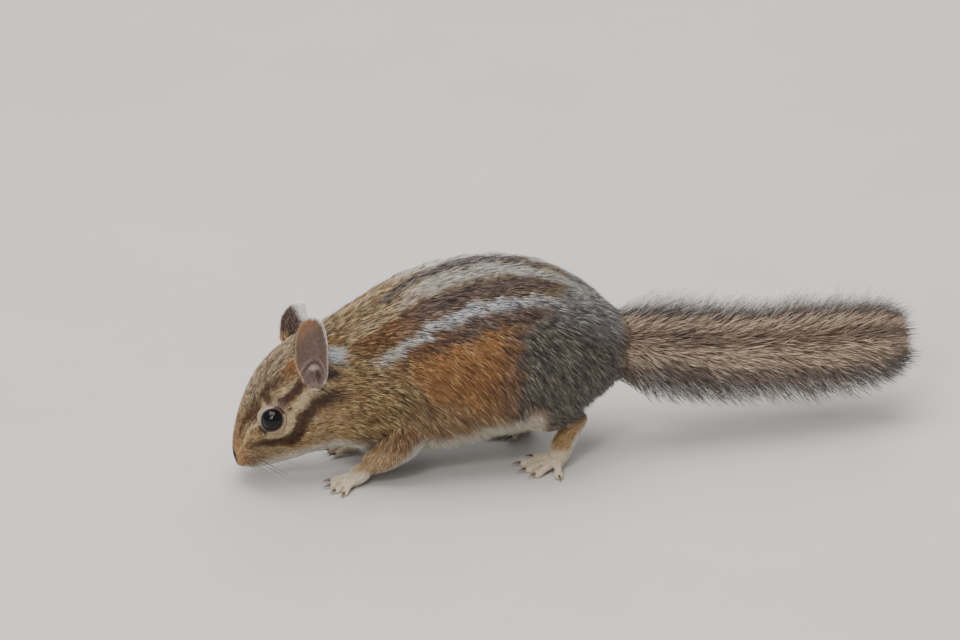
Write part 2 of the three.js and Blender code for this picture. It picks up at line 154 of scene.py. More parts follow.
class Sizes:
    """A size that changes smoothly from station to station."""

    def __init__(self, values: list | tuple) -> None:
        """Keeps one size for each station."""
        self.values = np.array(values, float)

    def at(self, t: Array) -> Array:
        """Gives sizes at shares of the way from the first station to the last.

        Args:
            t: Shares of the way.

        Returns:
            One size for each share.
        """
        last = len(self.values) - 1
        place = np.clip(np.asarray(t, float), 0, 1) * last
        i = np.minimum(place.astype(int), last - 1)
        p0, p1, p2, p3 = (self.values[np.clip(i + k, 0, last)] for k in (-1, 0, 1, 2))
        return bent(p1, p2, (p2 - p0) / 2, (p3 - p1) / 2, place - i)


class Drift:
    """A smooth wandering number in space, the same in each run."""

    def __init__(self, seed: int, reach: float, waves: int = 7) -> None:
        """Draws the waves.

        Args:
            seed: Start of the random draw.
            reach: Typical distance from a high to a low, in millimetres.
            waves: Number of waves that are added up.
        """
        draw = np.random.default_rng(seed)
        self.along = unit(draw.normal(size=(waves, 3))) * draw.uniform(0.6, 1.7, (waves, 1)) * math.pi / reach
        self.start = draw.uniform(0, TURN, waves)

    def at(self, points: Array) -> Array:
        """Gives the number, mostly from -1 to 1, at points."""
        return np.sin(points @ self.along.T + self.start).sum(1) / math.sqrt(len(self.start) * 1.4)


# Meshes


@dataclass
class Shape:
    """Corners and faces of a mesh, in millimetres of the plan."""

    points: Array
    faces: list[tuple[int, ...]]


def joined(shapes: list[Shape]) -> Shape:
    """Returns several shapes as one, side by side.

    Args:
        shapes: The shapes.

    Returns:
        One shape.
    """
    starts = np.cumsum([0] + [len(s.points) for s in shapes]).tolist()
    faces = [tuple(c + start for c in face) for s, start in zip(shapes, starts) for face in s.faces]
    return Shape(np.vstack([s.points for s in shapes]), faces)


def covered(rings: Array, flip: bool = False, closed: bool = False) -> Shape:
    """Covers rings of points with a surface.

    Args:
        rings: Points by ring and by place round the ring.
        flip: Turns the faces over.
        closed: Whether the last ring meets the first one. If not, each end closes to a middle point.

    Returns:
        The surface.
    """
    count, sides = rings.shape[:2]
    i, j = np.meshgrid(np.arange(count if closed else count - 1), np.arange(sides), indexing="ij")
    a, b = (i + 1) % count, (j + 1) % sides
    faces = np.stack([i * sides + j, a * sides + j, a * sides + b, i * sides + b], -1).reshape(-1, 4).tolist()
    points = rings.reshape(-1, 3)
    if not closed:
        points = np.vstack([points, rings[0].mean(0), rings[-1].mean(0)])
        last = (count - 1) * sides
        for j in range(sides):
            k = (j + 1) % sides
            faces += [[last + sides, j, k], [last + sides + 1, last + k, last + j]]
    return Shape(points, [tuple(f[::-1] if flip else f) for f in faces])


def placed(name: str, data: bpy.types.ID) -> Object:
    """Makes an object of some data and links it to the scene.

    Args:
        name: Name of the object.
        data: Its mesh, lamp or camera.

    Returns:
        The object.
    """
    made = bpy.data.objects.new(name, data)
    bpy.context.scene.collection.objects.link(made)
    return made


class Plan:
    """Moves the plan's millimetres into the row frame's metres."""

    def __init__(self, node: str, middle: Array) -> None:
        """Finds the shift from a node whose middle is known in the plan."""
        low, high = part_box(node)
        self.shift = (np.array(low) + np.array(high)) / 2 / MM - middle

    def metres(self, points: Array) -> Array:
        """Returns points of the plan as points of the row frame."""
        return (points + self.shift) * MM

    def millimetres(self, points: Array) -> Array:
        """Returns points of the row frame as points of the plan."""
        return points / MM - self.shift

    def piece(self, name: str, shape: Shape) -> Object:
        """Makes a smoothly shaded mesh object from a shape.

        Args:
            name: Name of the piece.
            shape: Its corners and faces.

        Returns:
            The object, linked to the scene.
        """
        mesh = bpy.data.meshes.new(name)
        mesh.from_pydata(self.metres(shape.points).tolist(), [], shape.faces)
        mesh.polygons.foreach_set("use_smooth", np.ones(len(mesh.polygons), bool))
        mesh.update()
        return placed(name, mesh)


def read(items: bpy.types.bpy_prop_collection, name: str, kind: type = np.float32, width: int = 3) -> Array:
    """Reads one property of all corners, edges or faces of a mesh, as rows of numbers.

    Args:
        items: Corners, edges or faces.
        name: The property.
        kind: Kind of its numbers.
        width: How many numbers one item has.

    Returns:
        One row for each item.
    """
    flat = np.empty(len(items) * width, kind)
    items.foreach_get(name, flat)
    return flat.reshape(-1, width).astype(float if kind is np.float32 else int)


def paint(mesh: bpy.types.Mesh, colours: Array) -> None:
    """Stores a red, green and blue from 0 to 1 for each corner of a mesh.

    Args:
        mesh: The mesh.
        colours: The colours.
    """
    layer = mesh.attributes.new(COLOURS, "FLOAT_COLOR", "POINT")
    full = np.ones((len(colours), 4), np.float32)
    full[:, :3] = np.clip(colours, 0, 1)
    layer.data.foreach_set("color", full.ravel())


def evaluated(made: Object) -> bpy.types.Mesh:
    """Returns a mesh with an object's modifiers applied, and takes them off the object.

    Args:
        made: The object.

    Returns:
        The finished mesh.
    """
    graph = bpy.context.evaluated_depsgraph_get()
    mesh = bpy.data.meshes.new_from_object(made.evaluated_get(graph))
    made.modifiers.clear()
    return mesh


def nearest(seeds: Array, points: Array) -> Array:
    """Returns for each point the number of the seed that lies nearest to it.

    Args:
        seeds: Places to choose from.
        points: Places that choose.

    Returns:
        Numbers of the seeds.
    """
    tree = KDTree(len(seeds))
    for i, p in enumerate(seeds.tolist()):
        tree.insert(p, i)
    tree.balance()
    return np.array([tree.find(p)[1] for p in points.tolist()])


# Forms of the body


class Form(IntEnum):
    """The forms that carry the coat, each with its own corner of the flat chart."""

    TRUNK = 0
    FORELEG_LEFT = 1
    FORELEG_RIGHT = 2
    HINDLEG_LEFT = 3
    HINDLEG_RIGHT = 4
    FOREPAW_LEFT = 5
    FOREPAW_RIGHT = 6
    HINDFOOT_LEFT = 7
    HINDFOOT_RIGHT = 8
    TAIL = 9
    EAR_LEFT = 10
    EAR_RIGHT = 11


LEGS = range(Form.FORELEG_LEFT, Form.FOREPAW_LEFT)
FEET = range(Form.FOREPAW_LEFT, Form.TAIL)


def chart_of(form: int, place: Array, turn: Array) -> Array:
    """Unwraps a form's surface.

    Args:
        form: Number of the form.
        place: Shares of the way along it.
        turn: Turns round it, in radians from -pi to pi.

    Returns:
        Places on the flat chart, where each form has a box of its own.
    """
    if form == Form.TRUNK:
        low, size = (0.01, 0.01), (0.98, 0.6)
    elif form == Form.TAIL:
        low, size = (0.01, 0.63), (0.6, 0.17)
    else:
        low, size = (0.01 + 0.1 * (form - 1 if form < Form.TAIL else form - 2), 0.83), (0.085, 0.15)
    share = np.stack([place, turn / TURN + 0.5], -1)
    return np.array(low) + np.array(size) * np.clip(share, 0, 1)


@dataclass
class Guide:
    """Points on one form, with their place on it and the lie of the coat there."""

    form: int
    points: Array
    place: Array
    turn: Array
    lie: Array

    @classmethod
    def round_line(cls, form: Form, rings: Array, low: float, high: float, turn: Array, comb: Array) -> "Guide":
        """Makes the guide of a form whose coat lies along it.

        Args:
            form: The form.
            rings: Points by ring and by place round the ring.
            low: Place of the first ring.
            high: Place of the last one.
            turn: Turns of the places round a ring.
            comb: Direction that is added to the lie.

        Returns:
            The guide.
        """
        count, sides = rings.shape[:2]
        lie = unit(unit(np.gradient(rings.mean(1), axis=0)) + comb)
        place = np.repeat(np.linspace(low, high, count), sides)
        return cls(form, rings.reshape(-1, 3), place, np.tile(turn, count), np.repeat(lie, sides, 0))


def swept(path: Path, sizes: Sizes, rings: int, sides: int, flatten: float, across: Array | tuple,
          deeper: tuple) -> Array:
    """Makes rings of points along a line, rounded off at both ends as the solids' own tubes are.

    Args:
        path: Middle line.
        sizes: Radius along it.
        rings: Number of spaces between rings.
        sides: Number of points round a ring.
        flatten: Height of a ring as a share of its width.
        across: Direction that the width keeps to.
        deeper: How far the surface lies inside the solid's, from the first ring to the last.

    Returns:
        Points by ring and by place round the ring.
    """
    t = np.linspace(0, 1, rings + 1)
    end = np.minimum(t, 1 - t) / 0.1
    rounded = np.where(end < 1, np.sqrt(np.clip(1 - (1 - end) ** 2, 0, 1)), 1)
    inset = np.interp(t, np.linspace(0, 1, len(deeper)), deeper)
    radius = np.maximum((sizes.at(t) - inset) * rounded, 0.1)
    ahead = path.ahead(np.clip(t, 1e-3, 1 - 1e-3))
    up = unit(np.cross(ahead, across))
    aside = unit(np.cross(up, ahead))
    turn = (np.arange(sides) + 0.5) / sides * TURN
    wide = aside[:, None] * np.cos(turn)[None, :, None]
    high = up[:, None] * (flatten * np.sin(turn))[None, :, None]
    return path.at(t)[:, None] + radius[:, None, None] * (wide + high)


@dataclass(frozen=True)
class Station:
    """One slice of the trunk: its points on back and belly, half width, lean and depth of coat."""

    name: str
    top: tuple[float, float]
    bottom: tuple[float, float]
    half: float
    lean: float
    coat: float


@dataclass(frozen=True)
class Swell:
    """A place where flesh lifts the surface on both sides."""

    name: str
    at: tuple[float, float, float]
    reach: float
    push: tuple[float, float, float]


STATIONS = (
    Station("nose pad", (-75.7, 9.4), (-75.3, 6.8), 1.5, 0, 0.05),
    Station("nostrils", (-75.9, 12.2), (-74.3, 5.3), 3.0, 0, 0.2),
    Station("lips", (-75.5, 15.8), (-71.8, 4.3), 4.4, 0.05, 0.4),
    Station("muzzle", (-74.8, 20.0), (-68.2, 4.0), 5.8, 0.1, 0.6),
    Station("bridge", (-73.2, 25.4), (-63.0, 4.6), 7.6, 0, 0.75),
    Station("eyes", (-70.3, 32.0), (-57.0, 6.0), 10.2, -0.05, 0.9),
    Station("brow", (-65.8, 38.4), (-51.0, 7.4), 12.2, -0.05, 1.2),
    Station("crown", (-58.6, 44.2), (-45.5, 7.8), 13.2, 0.05, 1.5),
    Station("nape", (-48.0, 49.6), (-39.5, 6.6), 14.6, 0.12, 2.0),
    Station("shoulders", (-35.0, 56.6), (-30.5, 4.8), 18.0, 0.12, 2.2),
    Station("withers", (-20.5, 62.9), (-19.0, 4.0), 21.2, 0.12, 2.3),
    Station("ribs", (-4.0, 65.5), (-5.0, 5.9), 23.8, 0.1, 2.4),
    Station("loins", (13.0, 63.6), (9.5, 8.0), 24.6, 0.06, 2.5),
    Station("hips", (28.0, 56.9), (22.5, 9.4), 22.6, 0, 2.6),
    Station("rump", (38.8, 47.4), (34.0, 13.4), 17.2, 0, 2.6),
    Station("tail root", (45.0, 40.6), (43.4, 23.4), 8.6, 0, 2.2),
)
SWELLS = (
    Swell("whisker pad", (-72.2, 4.6, 9.6), 4.6, (-0.3, 1.0, 0)),
    Swell("cheek pouch", (-56.5, 12.6, 16.5), 10.5, (0, 2.0, 0)),
    Swell("brow ridge", (-66.6, 8.2, 28.6), 5.0, (-0.4, 0.7, 0.6)),
    Swell("eye hollow", (-65.6, 10.4, 22.4), 6.0, (0.3, -0.9, 0)),
    Swell("shoulder", (-27.0, 18.5, 30.0), 17.0, (0, 2.2, 0)),
    Swell("haunch", (23.0, 21.5, 34.0), 19.0, (0, 2.6, 0)),
)
LAST_STATION = len(STATIONS) - 1


@dataclass
class Trunk:
    """Head, neck and trunk as one smooth form."""

    rings: int = 190
    sides: int = 110
    guide_rings: int = 240
    guide_sides: int = 150
    belly_extra: float = 1.5
    rump_extra: float = 3.0

    def __post_init__(self) -> None:
        """Draws the smooth lines through the stations."""
        self.tops = Path([(s.top[0], 0, s.top[1]) for s in STATIONS])
        self.bottoms = Path([(s.bottom[0], 0, s.bottom[1]) for s in STATIONS])
        self.halves, self.leans, self.coats = (
            Sizes([getattr(station, size) for station in STATIONS]) for size in ("half", "lean", "coat")
        )

    def coat_depth(self, place: Array, turn: Array) -> Array:
        """Gives the depth of the coat at places along the trunk and turns from the back.

        Args:
            place: Places in the list of stations.
            turn: Turns from the back.

        Returns:
            Depths in millimetres.
        """
        under = ease(1.9, 2.8, np.abs(turn)) * ease(6, 9, place)
        tuck = ease(1.7, 2.3, np.abs(turn)) * ease(12.9, 13.6, place)
        return self.coats.at(place / LAST_STATION) + self.belly_extra * under + self.rump_extra * tuck

    def surface(self, place: Array, turn: Array, deeper: Array | float = 0.0) -> Array:
        """Gives points of the trunk's surface.

        Args:
            place: Places in the list of stations.
            turn: Turns in radians from the back, towards the right side.
            deeper: How far the points lie inside the coat's surface.

        Returns:
            The points.
        """
        t = place / LAST_STATION
        top, bottom = self.tops.at(t), self.bottoms.at(t)
        rise = (top - bottom) / 2
        height = np.linalg.norm(rise, axis=1)
        tall = np.maximum(height - deeper, 0.3)
        half = np.maximum(self.halves.at(t) - deeper, 0.3)
        point = (top + bottom) / 2 + rise * (tall / height * np.cos(turn))[:, None]
        point[:, 1] += half * np.sin(turn) * (1 - self.leans.at(t) * np.cos(turn))
        for swell in SWELLS:
            for side in SIDES.values():
                away = np.linalg.norm(point - on_side(swell.at, side), axis=1)
                share = np.where(away < swell.reach, (1 - (away / swell.reach) ** 2) ** 2, 0)
                point += share[:, None] * on_side(swell.push, side)
        return point

    def grid(self, rings: int, sides: int) -> tuple[Array, Array, Array]:
        """Gives a grid of the skin's surface, with the places and turns of its points.

        Args:
            rings: Number of spaces along the trunk.
            sides: Number of points round it.

        Returns:
            Points, places and turns.
        """
        around = (np.arange(sides) / sides - 0.5) * TURN
        place, turn = (a.ravel() for a in np.meshgrid(np.linspace(0, LAST_STATION, rings + 1), around, indexing="ij"))
        return self.surface(place, turn, self.coat_depth(place, turn)), place, turn

    def shell(self) -> Shape:
        """Builds the closed surface of the skin."""
        return covered(self.grid(self.rings, self.sides)[0].reshape(self.rings + 1, self.sides, 3), flip=True)

    def guide(self) -> Guide:
        """Makes the guide points, with the coat lying back and down the flanks.

        Returns:
            The guide.
        """
        points, place, turn = self.grid(self.guide_rings, self.guide_sides)
        back, down = (unit(v) for v in self.steps(place, turn))
        side = np.degrees(np.abs(turn))
        droop = (1.05 + 0.15 * ease(11.5, 12.5, place)) * ease(35, 100, side) * (1 - 0.8 * ease(125, 170, side))
        droop = droop * ease(8.3, 10, place) + 0.2 * np.sin(np.abs(turn)) * ease(4, 8, place)
        lie = unit(back + down * (droop * np.sign(turn))[:, None])
        return Guide(Form.TRUNK, points, place, turn, lie)

    def steps(self, place: Array, turn: Array) -> tuple[Array, Array]:
        """Gives the moves on the surface for one station further back and for one radian of turn.

        Args:
            place: Places in the list of stations.
            turn: Turns from the back.

        Returns:
            Both moves at each place.
        """
        low, high = np.maximum(place - 0.02, 0), np.minimum(place + 0.02, LAST_STATION)
        back = (self.surface(high, turn) - self.surface(low, turn)) / (high - low)[:, None]
        return back, (self.surface(place, turn + 0.02) - self.surface(place, turn - 0.02)) / 0.04

    def carried(self, place: Array, turn: Array, move: Array) -> tuple[Array, Array]:
        """Gives the places and turns that lie a small move away on the surface.

        Args:
            place: Places in the list of stations.
            turn: Turns from the back.
            move: Moves in millimetres.

        Returns:
            The new places and turns.
        """
        back, around = self.steps(place, turn)
        ahead = (move * back).sum(1) / np.maximum((back**2).sum(1), 1e-3)
        aside = (move * around).sum(1) / np.maximum((around**2).sum(1), 1.0)
        return np.clip(place + ahead, 0, LAST_STATION), turn + aside


@dataclass(frozen=True)
class Limb:
    """A leg between trunk and foot, for the right side."""

    line: tuple
    radii: tuple
    step: float


FORELEG = Limb(((-24.0, 15.0, 22.0), (-27.0, 14.2, 15.0), (-32.4, 13.0, 9.2), (-38.2, 11.6, 5.4)),
               (7.0, 6.4, 4.8, 3.4), -5.5)
HINDLEG = Limb(((14.0, 16.0, 28.0), (11.5, 15.2, 23.6), (15.0, 15.6, 20.6), (22.0, 14.8, 18.8), (27.2, 13.6, 17.0)),
               (8.0, 8.2, 7.2, 5.8, 4.2), 3.0)


@dataclass(frozen=True)
class Toe:
    """One toe: its angle to the foot's heading, its reach from the ball, and its root's place across."""

    splay: float
    reach: float
    spread: float


@dataclass(frozen=True)
class FootPlan:
    """A foot for the right side, from heel or wrist to the claws."""

    line: tuple
    radii: tuple
    flatten: float
    heading: float
    toes: tuple
    toe: float
    claw: float


FOREPAW = FootPlan(
    ((-37.0, 11.7, 5.8), (-40.0, 12.0, 3.5), (-43.2, 12.6, 1.5)), (3.1, 3.4, 2.6), 0.8, 20,
    (Toe(-34, 5.2, -2.4), Toe(-11, 6.2, -0.9), Toe(9, 6.2, 0.8), Toe(32, 5.2, 2.2)), 1.05, 2.6,
)
HINDFOOT = FootPlan(
    ((27.6, 13.4, 17.6), (24.8, 13.6, 12.0), (22.0, 14.0, 7.0), (19.6, 14.4, 2.2)), (3.8, 3.8, 4.0, 3.4), 0.85, 5,
    (Toe(-46, 6.8, -2.4), Toe(-14, 10.2, -1.7), Toe(4, 9.8, 0), Toe(22, 8.8, 1.7), Toe(76, 6.8, 2.4)), 1.25, 3.0,
)


@dataclass
class Leg:
    """One leg with its foot. Each grid holds the spaces along a form and the points round it."""

    limb: Limb
    plan: FootPlan
    side: int
    leg_form: Form
    foot_form: Form
    leg_grid: tuple = (44, 36)
    foot_grid: tuple = (30, 32)
    toe_grid: tuple = (24, 16)
    depths: tuple = (1.6, 1.0, 0.6)
    foot_depth: float = 0.3

    ACROSS = (0, 1, 0)

    def line(self, knots: tuple, shares: Array) -> Array:
        """Gives a line's points on this side, moved ahead by shares of the step that this foot takes."""
        step = self.limb.step if self.side == RIGHT else 0.0
        return np.array([on_side(p, self.side) - np.array([step * s, 0, 0]) for p, s in zip(knots, shares)])

    def leg_rings(self) -> Array:
        """Gives the rings of the leg's skin."""
        line = self.line(self.limb.line, np.linspace(0, 1, len(self.limb.line)))
        return swept(Path(line), Sizes(self.limb.radii), *self.leg_grid, 1.0, self.ACROSS, self.depths)

    def foot_rings(self) -> Array:
        """Gives the rings of the foot's skin.

        Returns:
            Points by ring and by place round the ring.
        """
        path = Path(self.line(self.plan.line, np.ones(len(self.plan.line))))
        sizes, deeper = Sizes(self.plan.radii), (self.depths[-1], self.foot_depth)
        return swept(path, sizes, *self.foot_grid, self.plan.flatten, self.ACROSS, deeper)

    def toe_bones(self, toe: Toe) -> tuple[Array, Array, float]:
        """Gives a toe's line from its root to the claw's tip.

        Args:
            toe: The toe.

        Returns:
            Points over the knuckles to the claw's tip, the toe's direction, and its thickness.
        """
        heading = math.radians(self.plan.heading + toe.splay)
        out = np.array([-math.cos(heading), math.sin(heading) * self.side, 0])
        base = self.line(self.plan.line[-1:], np.ones(1))[0] + np.array([0, self.side * toe.spread, 0])
        reaches = [share * toe.reach for share in (-0.4, 0.12, 0.5, 0.84, 1)]
        reaches += [toe.reach + self.plan.claw * share for share in (0.6, 1)]
        points = np.array([base + out * r for r in reaches])
        points[:, 2] = np.array([2, 2, 1.6, 0.85, 0.75, 0.7, 0.2]) * self.plan.toe
        return points, out, self.plan.toe

    def toe_rings(self, toe: Toe) -> Array:
        """Gives the rings of one toe's skin, with its knuckle and pad.

        Args:
            toe: The toe.

        Returns:
            Points by ring and by place round the ring.
        """
        points, out, thick = self.toe_bones(toe)
        radii = np.array([1.3, 1.15, 0.95, 1.08, 0.8]) * thick
        across, deeper = (out[1], -out[0], 0), (self.foot_depth, 0.12)
        return swept(Path(points[:5]), Sizes(radii), *self.toe_grid, 0.95, across, deeper)

    def shells(self) -> list[Shape]:
        """Builds the closed surfaces of leg, foot and toes."""
        rings = [self.leg_rings(), self.foot_rings(), *(self.toe_rings(toe) for toe in self.plan.toes)]
        return [covered(r, flip=True) for r in rings]

    def guides(self) -> list[Guide]:
        """Makes the guide points, with the coat lying down the leg and out along the toes.

        Returns:
            One guide for each part of the leg.
        """
        parts = [(self.leg_form, self.leg_rings(), 0.0, 1.0, 0.6), (self.foot_form, self.foot_rings(), 0.0, 0.5, 0)]
        parts += [(self.foot_form, self.toe_rings(toe), 0.5, 1.0, 0) for toe in self.plan.toes]
        made = []
        for form, rings, low, high, comb in parts:
            turn = (np.arange(rings.shape[1]) / rings.shape[1] - 0.5) * TURN
            made.append(Guide.round_line(form, rings, low, high, turn, comb * np.array([1.0, 0, -0.35])))
        return made


@dataclass
class TailForm:
    """The tail's middle line, its flesh and the reach of its brush."""

    line: tuple = ((44.6, 0, 32.0), (58, 0.2, 29.6), (76, 0.8, 26.8), (98, 1.2, 25.0), (118, 0.8, 24.6),
                   (124, 0.6, 24.8))
    flesh: tuple = (6.2, 4.2, 3.4, 2.9, 2.2, 1.0)
    reach: tuple = (17.0, 17.8, 18.0, 18.2, 15.6, 9.0)
    thin: float = 0.64
    roll: float = 50
    along: int = 60
    around: int = 28

    def __post_init__(self) -> None:
        """Draws the smooth lines."""
        self.path, self.radius, self.brush = Path(self.line), Sizes(self.flesh), Sizes(self.reach)

    def directions(self, t: Array) -> tuple[Array, Array, Array, Array]:
        """Gives the middle and the tail's own directions.

        Args:
            t: Shares of the tail's length.

        Returns:
            Middle points, and the directions ahead to the tip, wide and thin across the brush.
        """
        ahead = self.path.ahead(t)
        up = unit(np.array([0, 0, 1.0]) - ahead * ahead[:, 2:3])
        roll = math.radians(self.roll)
        wide = np.cross(up, ahead) * math.cos(roll) + up * math.sin(roll)
        return self.path.at(t), ahead, wide, np.cross(ahead, wide)

    def rings(self) -> Array:
        """Gives the rings of the tail's flesh, starting inside the rump.

        Returns:
            Points by ring and by place round the ring.
        """
        t = np.linspace(0.0, 0.985, self.along)
        middle, _, wide, thin = self.directions(t)
        turn = np.arange(self.around) / self.around * TURN
        out = wide[:, None] * np.cos(turn)[None, :, None] + thin[:, None] * np.sin(turn)[None, :, None]
        radius = self.radius.at(t) * np.sqrt(np.clip((1 - t) / 0.06, 0.05, 1))
        rings = middle[:, None] + out * radius[:, None, None]
        rings[0] -= np.array([4.0, 0, 0])
        return rings

    def guide(self) -> Guide:
        """Makes the guide points, with the coat lying towards the tip.

        Returns:
            The guide.
        """
        rings = self.rings()
        turn = np.arange(rings.shape[1]) / rings.shape[1] * TURN
        return Guide.round_line(Form.TAIL, rings, 0, 1, np.where(turn > math.pi, turn - TURN, turn), np.zeros(3))


# Face


@dataclass(frozen=True)
class EyePlan:
    """The right eye: its middle, radius, reach of the face shaped round it and facing, and the lids' opening.

    The opening is a half angle in degrees, widened towards the corners and narrowed above and below.
    """

    at: tuple = (-65.4, 7.8, 22.6)
    radius: float = 3.7
    around: float = 4.5
    facing: tuple = (-0.33, 0.9, 0.28)
    half: float = 58.0
    front_corner: float = 20.0
    rear_corner: float = 4.0
    narrow: float = 2.5

    def directions(self, side: int) -> tuple[Array, Array, Array, Array]:
        """Gives the eye's middle and its directions forward, up and out for a side.

        Args:
            side: Which eye.

        Returns:
            The middle and three directions.
        """
        out = unit(on_side(self.facing, side))
        forward = np.array([-0.62, 0, -0.78])
        forward = unit(forward - out * (forward @ out))
        up = np.cross(out, forward) * side
        return on_side(self.at, side), forward, up, out

    def opening(self, turn: Array) -> Array:
        """Gives the opening's half angle, drawn out to a point towards the nose and a little at the back."""
        ahead, behind = np.clip(np.cos(turn), 0, 1), np.clip(-np.cos(turn), 0, 1)
        return self.half + self.front_corner * ahead**12 + self.rear_corner * behind**8 - self.narrow * np.sin(turn)**2

    def seen(self, points: Array, side: int) -> tuple[Array, Array, Array, Array]:
        """Looks at points from the eye's middle.

        Args:
            points: The points.
            side: Which eye.

        Returns:
            Their distance and heading, the degrees past the edge of the opening, and the turn round the eye.
        """
        middle, forward, up, out = self.directions(side)
        away = points - middle
        reach = np.linalg.norm(away, axis=1)
        heading = away / np.maximum(reach, 1e-6)[:, None]
        turn = np.arctan2(heading @ up, heading @ forward)
        past = np.degrees(np.arccos(np.clip(heading @ out, -1, 1))) - self.opening(turn)
        return reach, heading, past, turn


EYE = EyePlan()


@dataclass
class Face:
    """The folds of the face, pressed into the skin: eye openings, nostrils and mouth."""

    trunk: Trunk
    nostril: tuple = (-75.9, 1.4, 9.3)
    mouth_places: tuple = (1.15, 3.1)
    mouth_turns: tuple = (180.0, 138.0)

    def mouth(self, count: int = 80) -> Array:
        """Gives points along the line of the mouth from corner to corner.

        Args:
            count: Number of points.

        Returns:
            The points.
        """
        share, side = np.abs(np.linspace(-1, 1, count)), np.sign(np.linspace(-1, 1, count))
        turn = np.radians(self.mouth_turns[0] + (self.mouth_turns[1] - self.mouth_turns[0]) * share**0.7) * side
        place = self.mouth_places[0] + (self.mouth_places[1] - self.mouth_places[0]) * share
        return self.trunk.surface(place, turn, self.trunk.coat_depth(place, turn))

    def open_eye(self, points: Array, side: int) -> tuple[Array, Array]:
        """Fits the skin to the ball round the lids, and sinks it where the lids take its place.

        Args:
            points: Corners of the skin.
            side: Which eye.

        Returns:
            The moved corners, and how far each lies under lids and ball, from 0 to 1.
        """
        reach, heading, past, _ = EYE.seen(points, side)
        near = reach < EYE.radius + EYE.around
        new = reach + (EYE.radius + 0.40 - reach) * (1 - ease(28, 60, past))
        new = new + (EYE.radius - 0.8 - new) * (1 - ease(12, 23, past))
        moved = EYE.directions(side)[0] + heading * np.where(near, new, reach)[:, None]
        return moved, np.where(near, 1 - ease(18, 25, past), 0)

    def press(self, points: Array, normals: Array) -> tuple[Array, Array, Array]:
        """Presses nostrils, mouth and eye openings into the skin.

        Args:
            points: Corners of the skin.
            normals: Directions out of the skin.

        Returns:
            The moved corners, the share of bare skin at each, and the length of the hair as a share.
        """
        near = points[:, 0] < -55
        face, out = points[near], normals[near]
        away = np.min(np.linalg.norm(face[:, None] - self.mouth()[None], axis=2), axis=1)
        face = face + out * (0.26 * bell(away, 0.9, 0.5) - 0.6 * bell(away, 0, 0.32))[:, None]
        bare, short = bell(away, 0, 0.5), 1 - 0.6 * bell(away, 0, 1.5)
        # The groove from the mouth to the nose
        groove = bell(face[:, 1], 0, 0.25) * ease(-73.2, -73.8, face[:, 0]) * (1 - ease(9.4, 10.0, face[:, 2]))
        face = face - out * (0.26 * groove)[:, None]
        pad_reach = np.linalg.norm((face - np.array([-75.6, 0, 8.8])) / np.array([2.2, 2.8, 2.4]), axis=1)
        bare = np.maximum(bare, 1 - ease(0.85, 1.15, pad_reach))
        short = short * (0.45 + 0.55 * ease(1.0, 2.2, pad_reach))
        for side in SIDES.values():
            off = face - on_side(self.nostril, side)
            turn = math.radians(24) * side
            ahead = off[:, 0] * math.cos(turn) + off[:, 1] * math.sin(turn)
            aside = -off[:, 0] * math.sin(turn) + off[:, 1] * math.cos(turn)
            curl = off[:, 2] - 0.45 * aside * side + 0.25 * aside**2
            hole = bell(ahead, 0, 1.6) * bell(aside, 0, 0.62) * bell(curl, 0, 0.42)
            face = face + np.array([1.0, -0.2 * side, 0]) * hole[:, None]
            rim = bell(np.hypot(aside, curl * 1.2), 0.95, 0.3) * (np.abs(ahead) < 1.4)
            face = face + out * (0.14 * rim)[:, None]
            face, inside = self.open_eye(face, side)
            bare = np.maximum(bare, inside)
            reach, _, past, _ = EYE.seen(face, side)
            short = short * np.where(reach < EYE.radius + 4, 0.5 + 0.5 * ease(24, 70, past), 1)
        moved, full_bare, full_short = points.copy(), np.zeros(len(points)), np.ones(len(points))
        moved[near], full_bare[near], full_short[near] = face, bare, short
        return moved, full_bare, full_short


# Ears


@dataclass(frozen=True)
class EarPlan:
    """An ear as a leaf bent into a cup, whose tip and foot curl forward."""

    root: tuple = (-53.0, 11.0, 32.5)
    tip_left: tuple = (-54.2, 12.2, 55.6)
    tip_right: tuple = (-52.4, 14.4, 49.2)
    facing: tuple = (-0.5, 0.86, 0.05)
    breadth: float = 9.6
    cup: float = 3.4
    tip_curl: float = 0.9
    foot_curl: float = 3.2
    wall: float = 0.62


